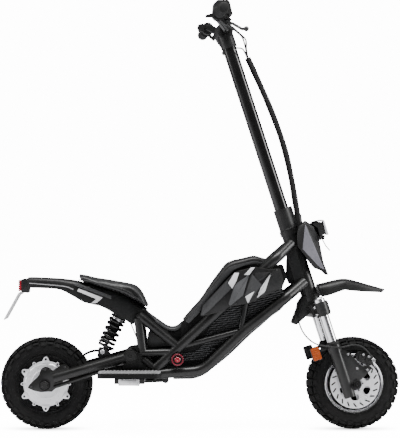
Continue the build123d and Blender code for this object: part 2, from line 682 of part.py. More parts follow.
def lever(side):
    """Add a brake lever with a ball end on one side: -1 right, +1 left."""
    def spot(reach, y):
        return lever_point(reach, side * y)
    plane = Plane(origin=spot(lever_pivot, perch_y), x_dir=(0, 1, 0), z_dir=lever_normal)
    with BuildSketch(plane) as boss:
        Circle(7.5)
    extrude(boss.sketch, amount=4.5, both=True)
    tube((spot(lever_pivot + 3, perch_y), spot(52, 208), spot(82, 240), spot(lever_tip, lever_tip_y)), 4.4,
         22)
    with Locations(spot(lever_tip, lever_tip_y)):
        Sphere(8)
    with BuildSketch(plane) as bore:
        Circle(3 + running)
    extrude(bore.sketch, amount=10, both=True, mode=Mode.SUBTRACT)


with BuildPart() as brake_lever_right:
    lever(-1)
finish_steered(brake_lever_right, "brake_lever_right")

with BuildPart() as brake_lever_left:
    lever(1)
finish_steered(brake_lever_left, "brake_lever_left")

throttle_y = -147.0
with BuildPart() as control_housings:
    ring_y(bar_x, bar_z, 19, bar_r, throttle_y - 5, throttle_y + 5)
    ring_y(bar_x, bar_z, 19, bar_r, 142, 160)
    slab(((bar_x - 30, bar_z - 8), (bar_x - 30, bar_z + 12), (bar_x - 14, bar_z + 16),
          (bar_x - 14, bar_z - 10)), 142, 160)
    rod_y(bar_x, bar_z, bar_r, 140, 162, mode=Mode.SUBTRACT)
    # button well
    with BuildSketch(Plane(origin=(bar_x - 30, 151, bar_z + 2), x_dir=(0, 1, 0), z_dir=(-1, 0, 0))) as well:
        Circle(5)
    extrude(well.sketch, amount=-6, mode=Mode.SUBTRACT)
finish_steered(control_housings, "control_housings")

with BuildPart() as horn_button:
    with BuildSketch(Plane(origin=(bar_x - 26.7, 151, bar_z + 2), x_dir=(0, 1, 0), z_dir=(-1, 0, 0))) as cap:
        Circle(5 - seat)
    extrude(cap.sketch, amount=6)
finish_steered(horn_button, "horn_button")

with BuildPart() as throttle_lever:
    ring_y(bar_x, bar_z, 17, bar_r + running, throttle_y - 17, throttle_y - 5.3)
    slab(((bar_x - 12, bar_z + 5), (bar_x - 38, bar_z - 2), (bar_x - 38, bar_z - 9), (bar_x - 12, bar_z - 8)),
         throttle_y - 19, throttle_y - 5.3)
    rod_y(bar_x, bar_z, bar_r + running, throttle_y - 20, throttle_y, mode=Mode.SUBTRACT)
finish_steered(throttle_lever, "throttle_lever")

# ---------------------------------------------------------------- fork
with BuildPart() as fork_crown:
    for side in (-1, 1):
        rod_axis(fork_leg_offset, side * fork_leg_y, stanchion_r + 7.5, crown_low, crown_high)
    with BuildSketch(steering_plane.offset(crown_low + 4)) as bridge:
        with Locations((8, 0)):
            Rectangle(58, 2 * fork_leg_y)
    extrude(bridge.sketch, amount=crown_high - crown_low - 8)
    for side in (-1, 1):
        rod_axis(fork_leg_offset, side * fork_leg_y, stanchion_r, crown_low - 1, crown_high + 1,
                 mode=Mode.SUBTRACT)
    rod_axis(0, 0, steerer_r, crown_low, crown_high, mode=Mode.SUBTRACT)
finish_steered(fork_crown, "fork_crown")

with BuildPart() as stanchions:
    for side in (-1, 1):
        rod_axis(fork_leg_offset, side * fork_leg_y, stanchion_r, stanchion_low, crown_high)
        rod_axis(fork_leg_offset, side * fork_leg_y, stanchion_r + 3, crown_high, stanchion_top)
finish_steered(stanchions, "stanchions")

guard_outline = ahead((362, 446), (402, 457), (442.1, 464.8), (463.7, 463.3), (525.4, 446.3), (576.3, 432.4),
                      (565.5, 421.6),
                 (503.8, 424.7), (448.3, 430.9), (402, 416), (372, 408))
guard_inner = ahead((350, 438), (402, 451), (443, 459), (463, 457.5), (520, 442), (500, 410), (448, 410),
                    (402, 400), (350, 390))
blade_outline = ahead((318, 394), (330, 382), (296.2, 322.4), (282.3, 328.6), (310, 372))
guard_stay = ahead((372, 408), (392, 416), (398, 402), (380, 396))
with BuildPart() as front_mudguard:
    slab(guard_outline, -46, 46)
    slab(guard_inner, -42.5, 42.5, mode=Mode.SUBTRACT)
    # the beak narrows towards its tip
    with BuildSketch(Plane.XY.offset(380)) as plan:
        for side in (-1, 1):
            Polygon(*ahead((430, 46 * side), (580, 16 * side), (640, 16 * side), (640, 80 * side),
                           (430, 80 * side)), align=None)
    extrude(plan.sketch, amount=140, mode=Mode.SUBTRACT)
    slab(blade_outline, -24, 24)
    # stays that bolt to the crown
    slab(guard_stay, -42.5, -36)
    slab(guard_stay, 36, 42.5)
    rod_axis(0, 0, head_tube_r + 3 + 2, crown_high + gap, head_high, mode=Mode.SUBTRACT)
    with BuildSketch(steering_plane.offset(crown_low + 4)) as crown_room:
        with Locations((8, 0)):
            Rectangle(58, 2 * fork_leg_y)
    extrude(crown_room.sketch, amount=crown_high - crown_low - 8, mode=Mode.SUBTRACT)
finish_steered(front_mudguard, "front_mudguard")

axle_up = 136.3             # front axle, along the steering axis
# lower legs slide on the stanchions
with BuildPart() as fork_legs:
    for side in (-1, 1):
        rod_axis(fork_leg_offset, side * fork_leg_y, fork_leg_r, fork_leg_low, fork_leg_high)
        rod_axis(fork_leg_offset, side * fork_leg_y, fork_leg_r + 2.5, fork_leg_high - 30, fork_leg_high)
    for side in (-1, 1):
        with BuildSketch(Plane(origin=on_axis(0, side * fork_leg_y, axle_up), x_dir=(cos_rake, 0, sin_rake),
                               z_dir=(0, 1, 0))) as lug:
            with Locations((fork_leg_offset + 15, 0)):
                RectangleRounded(58, 34, 14)
        extrude(lug.sketch, amount=7, both=True)
    for side in (-1, 1):
        rod_axis(fork_leg_offset, side * fork_leg_y, stanchion_r + running, leg_floor, fork_leg_high + 1,
                 mode=Mode.SUBTRACT)
    rod_y(front_axle_x, tyre_r, axle_r, -100, 100, mode=Mode.SUBTRACT)
    # room for the axle's heads
    for low, high in ((fork_leg_y + 7, fork_leg_y + 30), (-fork_leg_y - 30, -fork_leg_y - 7)):
        rod_y(front_axle_x, tyre_r, axle_r + 1.5 + gap, low, high, mode=Mode.SUBTRACT)
finish_steered(fork_legs, "fork_legs")

with BuildPart() as front_axle:
    rod_y(front_axle_x, tyre_r, axle_r, -fork_leg_y - 14, fork_leg_y + 14)
    for y_low, y_high in ((fork_leg_y + 7, fork_leg_y + 18), (-fork_leg_y - 18, -fork_leg_y - 7)):
        rod_y(front_axle_x, tyre_r, axle_r + 1.5, y_low, y_high)
finish_steered(front_axle, "front_axle")

disc_y = -49.0
caliper_angle = 70.0        # of the caliper about the axle, from straight ahead
caliper_reach = 84.0
caliper_x = front_axle_x + caliper_reach * math.cos(math.radians(caliper_angle))
caliper_z = tyre_r + caliper_reach * math.sin(math.radians(caliper_angle))
caliper_bracket = ahead((428, 252), (462, 248), (496, 226), (522, 194), (500, 172), (480, 160), (470, 190),
                        (440, 215))
with BuildPart() as brake_caliper:
    with BuildSketch(Plane(origin=(caliper_x, disc_y - 22, caliper_z),
                           x_dir=(-math.sin(math.radians(caliper_angle)), 0,
                                  math.cos(math.radians(caliper_angle))),
                           z_dir=(0, 1, 0))) as body:
        RectangleRounded(56, 34, 6)
    extrude(body.sketch, amount=27)
    slab(caliper_bracket, -fork_leg_y - 10, -fork_leg_y - 5)
    slab(ahead((500, 214), (520, 190), (500, 172), (480, 200)), -fork_leg_y - 10, -66)
    ring_y(front_axle_x, tyre_r, disc_r + 3, 1, disc_y - 2.4, disc_y + 2.4, mode=Mode.SUBTRACT)
    rod_axis(fork_leg_offset, -fork_leg_y, fork_leg_r + 2.6, 90, 300, mode=Mode.SUBTRACT)
finish_steered(brake_caliper, "brake_caliper")

with BuildPart() as reflectors:
    for side in (-1, 1):
        lens_spot = on_axis(-47, side * (fork_leg_y - 4), 262)
        with BuildSketch(Plane(origin=lens_spot, x_dir=(cos_rake, 0, sin_rake), z_dir=(0, 1, 0))) as lens:
            RectangleRounded(28, 42, 6)
        extrude(lens.sketch, amount=4, both=True)
        arm_spot = on_axis(-22, side * (fork_leg_y - 4), 268)
        with BuildSketch(Plane(origin=arm_spot, x_dir=(cos_rake, 0, sin_rake), z_dir=(0, 1, 0))) as arm:
            Rectangle(30, 8)
        extrude(arm.sketch, amount=2, both=True)
    for side in (-1, 1):
        rod_axis(fork_leg_offset, side * fork_leg_y, fork_leg_r + 2.5, 240, 300, mode=Mode.SUBTRACT)
finish_steered(reflectors, "reflectors")

# ---------------------------------------------------------------- front wheel
with BuildPart() as front_tyre:
    spin(tyre_profile(), front_axle_x, tyre_r)
finish_steered(front_tyre, "front_tyre")

rim_profile = ((-rim_width / 2, rim_r), (-rim_width / 2, rim_r - 14), (-12, rim_r - 18), (-8, 30), (-44, 26),
               (-44, bearing_outer_r), (44, bearing_outer_r), (44, 26), (8, 30), (12, rim_r - 18),
               (rim_width / 2, rim_r - 14), (rim_width / 2, rim_r))
with BuildPart() as front_rim:
    spin(rim_profile, front_axle_x, tyre_r)
    with BuildSketch(Plane.XZ.offset(-20)) as windows:
        with Locations((front_axle_x, tyre_r)):
            with PolarLocations(52, 6):
                SlotOverall(30, 18, rotation=90)
    extrude(windows.sketch, amount=40, mode=Mode.SUBTRACT)
finish_steered(front_rim, "front_rim")

with BuildPart() as brake_disc:
    with BuildSketch(Plane.XZ.offset(-disc_y - disc_thick / 2)) as plate:
        with Locations((front_axle_x, tyre_r)):
            Circle(disc_r)
            with PolarLocations(42, 6, start_angle=30):
                SlotOverall(26, 20, rotation=90, mode=Mode.SUBTRACT)
            with PolarLocations(disc_r - 10.5, 20):
                SlotOverall(16, 4.4, rotation=38, mode=Mode.SUBTRACT)
            Circle(22, mode=Mode.SUBTRACT)
    extrude(plate.sketch, amount=disc_thick)
    ring_y(front_axle_x, tyre_r, 26, 22, disc_y + disc_thick / 2, -44)
finish_steered(brake_disc, "brake_disc")

with BuildPart() as wheel_bearings:
    for y_low, y_high in ((26, 40), (-40, -26)):
        ring_y(front_axle_x, tyre_r, bearing_outer_r, axle_r + running, y_low, y_high)
finish_steered(wheel_bearings, "wheel_bearings")

# ---------------------------------------------------------------- cables held by the scooter
sleeve_drawn = ((150, 6, 1150), (186, 4, 1072), (224, 0, 984), (262, 0, 880), (285, 0, 780), (299, 0, 690),
                (306, 0, 652))
sleeve_route = []
for x, y, z in sleeve_drawn:
    # the lower end stays at the head tube, and the upper end goes with the bars
    share = (z - 652) / (1150 - 652)
    sleeve_route.append((x + front_move + share * (clamp_move_x - front_move), y, z + share * clamp_move_z))
with BuildPart() as cable_sleeve:
    cable(sleeve_route, 9.5, "cable_sleeve")
finish_steered(cable_sleeve, "cable_sleeve")

hose_r = 2.5
loop_route = beside_leg(*ahead((310, -30, 392), (298, -34, 366), (299, -46, 330), (312, -66, 294),
                               (340, -88, 266),
                               (376, -96, 258), (401.7, -94.5, 256)))
with BuildPart() as brake_hose_loop:
    cable(loop_route, hose_r, "brake_hose_loop")
finish_steered(brake_hose_loop, "brake_hose_loop")

lower_route = beside_leg(*ahead((402, -94.48, 255.98), (418, -93.55, 254.73), (440, -91, 258),
                                (464, -87, 264), (490, -80, 258), (512, -75, 238), (526, -72, 216)),
                         near=78, far=94)
with BuildPart() as brake_hose_lower:
    cable(lower_route, hose_r, "brake_hose_lower")
finish_steered(brake_hose_lower, "brake_hose_lower")

control_routes = {
    "right_brake": at_bars((82, -170, 1222), (106, -150, 1205), (128, -110, 1196), (138, -60, 1190),
                           (142, -22, 1172), (150, -1, 1150)),
    "left_brake": at_bars((82, 170, 1222), (108, 150, 1204), (130, 110, 1194), (140, 64, 1188),
                          (144, 28, 1172), (150, 13, 1150)),
    "throttle": at_bars((52, -150, 1242), (78, -128, 1228), (108, -92, 1216), (128, -52, 1206),
                        (140, -14, 1184), (150, 6, 1150)),
}
with BuildPart() as control_cables:
    for name, route in control_routes.items():
        cable(route, 2.5, name)
finish_steered(control_cables, "control_cables")
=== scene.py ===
import math

import bmesh
import bpy
import numpy as np
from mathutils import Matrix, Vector


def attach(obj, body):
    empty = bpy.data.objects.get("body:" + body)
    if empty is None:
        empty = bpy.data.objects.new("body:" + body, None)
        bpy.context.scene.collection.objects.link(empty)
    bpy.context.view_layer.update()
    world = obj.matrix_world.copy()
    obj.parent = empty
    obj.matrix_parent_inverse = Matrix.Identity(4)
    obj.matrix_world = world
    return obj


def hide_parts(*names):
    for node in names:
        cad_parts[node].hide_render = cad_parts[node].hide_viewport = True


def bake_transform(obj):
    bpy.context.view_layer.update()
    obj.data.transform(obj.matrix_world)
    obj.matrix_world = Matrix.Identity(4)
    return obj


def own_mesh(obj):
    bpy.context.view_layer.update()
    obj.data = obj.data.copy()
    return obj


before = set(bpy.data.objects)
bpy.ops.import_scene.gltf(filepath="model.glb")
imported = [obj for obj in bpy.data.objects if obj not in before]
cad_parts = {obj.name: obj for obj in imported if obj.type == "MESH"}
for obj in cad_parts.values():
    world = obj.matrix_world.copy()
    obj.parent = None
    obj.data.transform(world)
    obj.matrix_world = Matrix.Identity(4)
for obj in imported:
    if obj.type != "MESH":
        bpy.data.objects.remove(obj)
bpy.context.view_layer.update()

MM = 0.001

# ------------------------------------------------------------------ the scooter's own sizes, in mm
RAKE = math.radians(18.0)
SIN_R, COS_R = math.sin(RAKE), math.cos(RAKE)
TRAIL_X = 475.2                       # the steering axis meets the ground here
REST_TURN = math.radians(6.0)         # the bars stand turned a little to the left
STEERED = {"steering", "fork_lower", "front_wheel", "brake_lever_right", "brake_lever_left", "throttle_lever",
    "horn_button"}
TYRE_R = 142.5
CASING_HALF, CASING_R, CASING_RISE = 43.5, 109.0, 28.0    # the section ellipse: half width, middle, height
AXLE_X = 472.75
FRONT = (AXLE_X, TYRE_R)
REAR = (-AXLE_X, TYRE_R)
PIVOT = (-211.0, 231.0)
SHOCK_TOP, SHOCK_LOW = (-243.4, 363.6), (-299.2, 239.6)
BAR_X, BAR_Z = 40.0, 1260.0
STANCHION_AHEAD, STANCHION_SIDE = 12, 70
REFLECTOR_AHEAD, REFLECTOR_UP, REFLECTOR_SIDE = -47, 262, 66
SOCKET_X, SOCKET_Z = -67.4, 221.6


def on_axis(ahead, side, up):
    """Point given by its distances ahead of, beside and along the raked steering axis."""
    return (TRAIL_X + ahead * COS_R - up * SIN_R, side, ahead * SIN_R + up * COS_R)


def turned(points):
    """Rodrigues' rotation of points about the steering axis by the rest turn of the bars."""
    axis = np.array([-SIN_R, 0.0, COS_R])
    rel = points - np.array([TRAIL_X, 0.0, 0.0])
    along = (rel @ axis)[:, None] * axis
    spun = rel * math.cos(REST_TURN) + np.cross(axis,
        rel) * math.sin(REST_TURN) + along * (1 - math.cos(REST_TURN))
    return spun + np.array([TRAIL_X, 0.0, 0.0])


# ------------------------------------------------------------------ shapes: each is (points, faces)
def grid(points, wrap_u=False, wrap_v=False):
    """Faces over a grid of points (u, v, xyz); a wrapped direction joins its end to its start."""
    nu, nv = points.shape[:2]
    u = np.arange(nu if wrap_u else nu - 1)[:, None]
    v = np.arange(nv if wrap_v else nv - 1)[None, :]
    u2, v2 = (u + 1) % nu, (v + 1) % nv
    quads = np.stack(np.broadcast_arrays(u * nv + v, u2 * nv + v, u2 * nv + v2, u * nv + v2), -1).reshape(-1,
        4)
    return points.reshape(-1, 3), [tuple(q) for q in quads.tolist()]


def capped(points, wrap_v=True):
    """A grid of closed rings with a flat face over its first and last ring."""
    verts, faces = grid(points, wrap_v=wrap_v)
    nu, nv = points.shape[:2]
    faces.append(tuple(range(nv)))
    faces.append(tuple(range((nu - 1) * nv, nu * nv))[::-1])
    return verts, faces


def join(*shapes):
    """Several shapes as one."""
    verts, faces, base = [], [], 0
    for points, polys in shapes:
        verts.append(points)
        faces += [tuple(i + base for i in poly) for poly in polys]
        base += len(points)
    return np.concatenate(verts), faces


def mirrored(shape):
    """The shape and its copy on the other side of the middle plane."""
    points, faces = shape
    return join(shape, (points * np.array([1.0, -1.0, 1.0]), [poly[::-1] for poly in faces]))


def pair(make):
    """What make gives for the right side (-1) and for the left side (1), as one shape."""
    return join(*[make(s) for s in (-1, 1)])


def turn_about(shape, centre, angle):
    """The shape turned in the side view about a point (x, z), anticlockwise seen from the right."""
    points, faces = shape
    x, z = points[:, 0] - centre[0], points[:, 2] - centre[1]
    c, s = math.cos(angle), math.sin(angle)
    return np.stack([centre[0] + c * x - s * z, points[:, 1], centre[1] + s * x + c * z], 1), faces


def smooth_line(points, per_run=8):
    """Catmull-Rom curve through points: each run is a cubic whose end slopes are its neighbours' chords."""
    p = np.asarray(points, float)
    p = np.vstack([2 * p[0] - p[1], p, 2 * p[-1] - p[-2]])
    t = np.linspace(0, 1, per_run, endpoint=False)[:, None]
    runs = []
    for a, b, c, d in zip(p, p[1:], p[2:], p[3:]):
        runs.append(0.5 * (2 * b + (c - a) * t + (2 * a - 5 * b + 4 * c - d) * t ** 2
            + (3 * b - a - 3 * c + d) * t ** 3))
    return np.vstack(runs + [p[-2:-1]])


def full_turn(count):
    """Angles evenly round a circle, from 0."""
    return np.linspace(0, 2 * math.pi, count, endpoint=False)


def square_to(direction):
    """A direction at unit length, and two unit directions square to it and to each other."""
    d = np.asarray(direction, float)
    d = d / np.linalg.norm(d)
    n = np.cross(d, [0.0, 1.0, 0.0] if abs(d[1]) < 0.9 else [1.0, 0.0, 0.0])
    n /= np.linalg.norm(n)
    return d, n, np.cross(d, n)


def normals_along(path):
    """Two unit normals carried along the path without twist."""
    tangent = np.gradient(path, axis=0)
    tangent /= np.linalg.norm(tangent, axis=1, keepdims=True)
    first = np.cross(tangent[0], [0.0, 1.0, 0.0])
    if np.linalg.norm(first) < 0.1:
        first = np.cross(tangent[0], [0.0, 0.0, 1.0])
    normal = [first / np.linalg.norm(first)]
    for t in tangent[1:]:
        n = normal[-1] - t * np.dot(normal[-1], t)
        normal.append(n / np.linalg.norm(n))
    normal = np.array(normal)
    return normal, np.cross(tangent, normal)


def carried(path, r, a):
    """Rings square to a path: each point is the path's, plus r times (cos a, sin a) along the two normals."""
    n, b = normals_along(path)
    ring = np.cos(a)[None, :, None] * n[:, None, :] + np.sin(a)[None, :, None] * b[:, None, :]
    return capped(path[:, None, :] + r * ring)


def pipe(path, radius, sides=20):
    """A circle carried along a path; the radius may change from point to point."""
    path = np.asarray(path, float)
    r = np.broadcast_to(np.asarray(radius, float), (len(path),))[:, None, None]
    return carried(path, r, full_turn(sides))


def lathe(profile, centre, count=96, close=True):
    """A closed profile of (y, radius) points turned about an axle that lies across at (x, z)."""
    p = np.asarray(profile, float)
    a = full_turn(count)
    r = p[None, :, 1]
    pts = np.stack([centre[0] + r * np.cos(a)[:, None], np.broadcast_to(p[None, :, 0], (count, len(p))),
        centre[1] + r * np.sin(a)[:, None]], -1)
    return grid(pts, wrap_u=True, wrap_v=close)


def spindle(profile, base, direction, count=32):
    """A profile of (distance, radius) points turned about a direction from a base point, ends capped."""
    p = np.asarray(profile, float)
    d, n, b = square_to(direction)
    a = full_turn(count)
    ring = np.cos(a)[:, None] * n + np.sin(a)[:, None] * b
    return capped(np.asarray(base, float) + p[:, 0][:, None, None] * d + p[:, 1][:, None, None] * ring)


def inset(outline, amount):
    """An outline of (x, z) points moved inwards: each corner goes along the mean of its edge normals."""
    p = np.asarray(outline, float)
    area = np.sum(p[:, 0] * np.roll(p[:, 1], -1) - np.roll(p[:, 0], -1) * p[:, 1])
    edge = np.roll(p, -1, 0) - p
    edge /= np.linalg.norm(edge, axis=1, keepdims=True)
    n = np.stack([-edge[:, 1], edge[:, 0]], 1) * np.sign(area)
    both = n + np.roll(n, 1, 0)
    scale = np.maximum(np.sum(both * n, 1), 0.5)[:, None]
    return p + both / scale * amount


def rounded(outline, radius=4.0, steps=4):
    """An outline with each corner replaced by a quadratic curve that starts and ends radius away from it."""
    p = np.asarray(outline, float)
    out = []
    for before, here, after in zip(np.roll(p, 1, 0), p, np.roll(p, -1, 0)):
        la, lb = np.linalg.norm(before - here), np.linalg.norm(after - here)
        a = here + (before - here) * min(radius, 0.45 * la) / la
        b = here + (after - here) * min(radius, 0.45 * lb) / lb
        t = np.linspace(0, 1, steps)[:, None]
        out.append((1 - t) ** 2 * a + 2 * t * (1 - t) * here + t ** 2 * b)
    return np.vstack(out)


def plate(outline, y_low, y_high, bevel=1.5):
    """A side-view outline carried across from y_low to y_high, with its edges rounded in three steps."""
    p = np.asarray(outline, float)
    steps = ((bevel, 0), (bevel * 0.3, bevel * 0.3), (0, bevel))
    rings = [(inset(p, i), y_low + d) for i, d in steps] + [(inset(p, i), y_high - d) for i, d in steps[::-1]]
    return capped(np.stack([np.stack([q[:, 0], np.full(len(q), y), q[:, 1]], -1) for q, y in rings]))


def arch(stations, power=3.0, around=28, per_run=6, hollow=0.0):
    """A crest carried along stations of (top x, top z, foot x, foot z, half width).
    Across it the height follows a superellipse of the given power; underneath it is flat, or raised
    by hollow."""
    s = smooth_line(stations, per_run) if per_run > 1 else np.asarray(stations, float)
    a = np.linspace(math.pi, 0, around)
    c, h = np.cos(a), np.sin(a)
    side = np.sign(c) * np.abs(c) ** (2 / power)
    rise = np.abs(h) ** (2 / power)
    low_side = np.linspace(1, -1, around // 2)[1:-1]
    low_rise = hollow * (1 - np.abs(low_side) ** 4)
    side = np.concatenate([side, low_side])
    rise = np.concatenate([rise, low_rise])
    top, foot, half = s[:, None, 0:2], s[:, None, 2:4], s[:, None, 4]
    xz = foot + (top - foot) * rise[None, :, None]
    return capped(np.stack([xz[..., 0], half * side[None, :], xz[..., 1]], -1))


def socket_screw(base, direction, radius=4.0, height=4.0):
    """A cap screw: a bevelled drum with a six-sided recess, as rings of twelve points."""
    d, n, b = square_to(direction)
    a = full_turn(24)
    hexagon = 0.9 / np.cos((a + math.pi / 6) % (math.pi / 3) - math.pi / 6)
    rings = ((0, 1, 0), (height * 0.8, 1, 0), (height, 0.86, 0), (height, 0.55, 1), (height * 0.45, 0.5, 1))
    pts = []
    for up, size, six in rings:
        r = radius * size * (hexagon if six else 1.0)
        pts.append(np.asarray(base, float) + up * d + (r * np.cos(a))[:, None] * n
            + (r * np.sin(a))[:, None] * b)
    return capped(np.stack(pts))


def add(name, shape, body, material, slot, stands_for=(), sharp=32.0, steered=False):
    """Make a piece from a shape in mm, with its normals outwards, on its body and in its finish."""
    points, faces = shape
    if steered or body in STEERED:
        points = turned(points)
    mesh = bpy.data.meshes.new(name)
    mesh.from_pydata((points * MM).tolist(), [], faces)
    bm = bmesh.new()
    bm.from_mesh(mesh)
    bmesh.ops.remove_doubles(bm, verts=bm.verts, dist=1e-6)
    bmesh.ops.recalc_face_normals(bm, faces=bm.faces)
    bm.to_mesh(mesh)
    bm.free()
    mesh.shade_smooth()
    mesh.set_sharp_from_angle(angle=math.radians(sharp))
    mesh.materials.append(material)
    piece = bpy.data.objects.new(name, mesh)
    bpy.context.scene.collection.objects.link(piece)
    if body is not None:
        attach(piece, body)
    if stands_for:
        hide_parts(*stands_for)
    return piece


# ------------------------------------------------------------------ effects shared by the finishes
def effect(name, inputs, outputs):
    """An empty shader group with named sockets; returns the group, its incoming and its outgoing sockets."""
    group = bpy.data.node_groups.new(name, "ShaderNodeTree")
    for label, kind, value in inputs:
        socket = group.interface.new_socket(name=label, in_out="INPUT", socket_type=kind)
        if value is not None:
            socket.default_value = value
    for label, kind in outputs:
        group.interface.new_socket(name=label, in_out="OUTPUT", socket_type=kind)
    return group, group.nodes.new("NodeGroupInput").outputs, group.nodes.new("NodeGroupOutput").inputs


def node(tree, kind, links=(), **settings):
    """Add a node, set its properties and sockets, and link (socket, source) pairs into it."""
    made = tree.nodes.new(kind)
    for key, value in settings.items():
        if hasattr(made, key):
            setattr(made, key, value)
        else:
            made.inputs[key.replace("_", " ")].default_value = value
    for socket, source in links:
        tree.links.new(source, made.inputs[socket])
    return made


VECTOR, FLOAT, COLOUR = "NodeSocketVector", "NodeSocketFloat", "NodeSocketColor"


def make_mottle():
    """Two noises, one coarse and one fine, mixed three to one: a slow change of tone over a moulded
    or painted part."""
    g, i, o = effect("mottle", [("Vector", VECTOR, None), ("Scale", FLOAT, 14.0), ("Dark", COLOUR, None),
        ("Light", COLOUR, None), ("Smooth", FLOAT, 0.3), ("Rough", FLOAT, 0.5)],
        [("Color", COLOUR), ("Roughness", FLOAT)])
    coarse = node(g, "ShaderNodeTexNoise", [("Vector", i["Vector"]), ("Scale", i["Scale"])], Detail=3.0)
    finer = node(g, "ShaderNodeMath", [(0, i["Scale"])], operation="MULTIPLY")
    finer.inputs[1].default_value = 12.0
    fine = node(g, "ShaderNodeTexNoise", [("Vector", i["Vector"]), ("Scale", finer.outputs[0])], Detail=2.0)
    mixed = node(g, "ShaderNodeMix", [(2, coarse.outputs[0]), (3, fine.outputs[0])])
    mixed.inputs[0].default_value = 0.25
    spread = node(g, "ShaderNodeMapRange", [("Value", mixed.outputs[0])])
    spread.inputs["From Min"].default_value, spread.inputs["From Max"].default_value = 0.35, 0.65
    tone = node(g, "ShaderNodeMix", [(0, spread.outputs[0]), (6, i["Dark"]), (7, i["Light"])],
        data_type="RGBA")
    rough = node(g, "ShaderNodeMix", [(0, spread.outputs[0]), (2, i["Smooth"]), (3, i["Rough"])])
    g.links.new(tone.outputs[2], o["Color"])
    g.links.new(rough.outputs[0], o["Roughness"])
    return g


def make_grain():
    """Cells of moulding grain with a fine noise laid over them, as a height."""
    g, i, o = effect("moulding_grain", [("Vector", VECTOR, None), ("Scale", FLOAT, 900.0)],
        [("Height", FLOAT)])
    cells = node(g, "ShaderNodeTexVoronoi", [("Vector", i["Vector"]), ("Scale", i["Scale"])])
    fine = node(g, "ShaderNodeTexNoise", [("Vector", i["Vector"]), ("Scale", i["Scale"])], Detail=2.0)
    total = node(g, "ShaderNodeMath", [(0, cells.outputs["Distance"]), (1, fine.outputs[0])], operation="ADD")
    g.links.new(total.outputs[0], o["Height"])
    return g


def make_dust():
    """A dust mask: most near the ground, fading with height, broken up by noise."""
    g, i, o = effect("road_dust", [("Vector", VECTOR, None), ("Height", FLOAT, 0.35), ("Amount", FLOAT, 0.3)],
        [("Mask", FLOAT)])
    parts = node(g, "ShaderNodeSeparateXYZ", [("Vector", i["Vector"])])
    fade = node(g, "ShaderNodeMapRange", [("Value", parts.outputs["Z"]), ("From Max", i["Height"])])
    fade.inputs["To Min"].default_value, fade.inputs["To Max"].default_value = 1.0, 0.0
    patches = node(g, "ShaderNodeTexNoise", [("Vector", i["Vector"])], Scale=38.0, Detail=5.0)
    worn = node(g, "ShaderNodeMath", [(0, fade.outputs[0]), (1, patches.outputs[0])], operation="MULTIPLY")
    mask = node(g, "ShaderNodeMath", [(0, worn.outputs[0]), (1, i["Amount"])], operation="MULTIPLY")
    g.links.new(mask.outputs[0], o["Mask"])
    return g


def make_brushed():
    """Fine scratches: noise stretched a hundred times along one direction."""
    g, i, o = effect("brushed", [("Vector", VECTOR, None), ("Stretch", VECTOR, (1.0, 1.0, 1.0))],
        [("Height", FLOAT)])
    pulled = node(g, "ShaderNodeVectorMath", [(0, i["Vector"]), (1, i["Stretch"])], operation="MULTIPLY")
    lines = node(g, "ShaderNodeTexNoise", [("Vector", pulled.outputs[0])], Scale=1.0, Detail=3.0)
    g.links.new(lines.outputs[0], o["Height"])
    return g


MOTTLE, GRAIN, DUST, BRUSHED = make_mottle(), make_grain(), make_dust(), make_brushed()
DUST_COLOUR = (0.16, 0.15, 0.135, 1.0)


def grey(level, warm=0.0):
    """A near-neutral colour of that level."""
    return (level * (1 + warm), level, level * (1 - warm) * 1.02, 1.0)


def finish(name, dark, light, smooth, rough, metal=0.0, grain=0.0, grain_scale=900.0, coat=0.0, dust=0.0,
        tone_scale=14.0, stretch=None, specular=0.35):
    """A maker's finish: mottled tone and roughness, a relief from grain or brushing, and dust low down."""
    material = bpy.data.materials.new(name)
    material.use_nodes = True
    tree = material.node_tree
    shader = tree.nodes["Principled BSDF"]
    place = tree.nodes.new("ShaderNodeTexCoord")
    spot = place.outputs["Object"]
    tone = node(tree, "ShaderNodeGroup", node_tree=MOTTLE)
    tree.links.new(spot, tone.inputs["Vector"])
    for label, value in (("Scale", tone_scale), ("Dark", dark), ("Light", light), ("Smooth", smooth),
            ("Rough", rough)):
        tone.inputs[label].default_value = value
    colour = tone.outputs["Color"]
    if dust:
        film = node(tree, "ShaderNodeGroup", node_tree=DUST)
        tree.links.new(spot, film.inputs["Vector"])
        film.inputs["Amount"].default_value = dust
        cover = node(tree, "ShaderNodeMix", [(0, film.outputs["Mask"]), (6, colour)], data_type="RGBA")
        cover.inputs[7].default_value = DUST_COLOUR
        colour = cover.outputs[2]
    tree.links.new(colour, shader.inputs["Base Color"])
    tree.links.new(tone.outputs["Roughness"], shader.inputs["Roughness"])
    relief = None
    if stretch:
        relief = node(tree, "ShaderNodeGroup", node_tree=BRUSHED)
        relief.inputs["Stretch"].default_value = stretch
        tree.links.new(spot, relief.inputs["Vector"])
    elif grain:
        relief = node(tree, "ShaderNodeGroup", node_tree=GRAIN)
        relief.inputs["Scale"].default_value = grain_scale
        tree.links.new(spot, relief.inputs["Vector"])
    if relief:
        bump = node(tree, "ShaderNodeBump", [("Height", relief.outputs["Height"])], Strength=grain,
            Distance=0.0004)
        tree.links.new(bump.outputs["Normal"], shader.inputs["Normal"])
    for label, value in (("Metallic", metal), ("Coat Weight", coat), ("Coat Roughness", 0.12),
            ("Specular IOR Level", specular)):
        shader.inputs[label].default_value = value
    return material


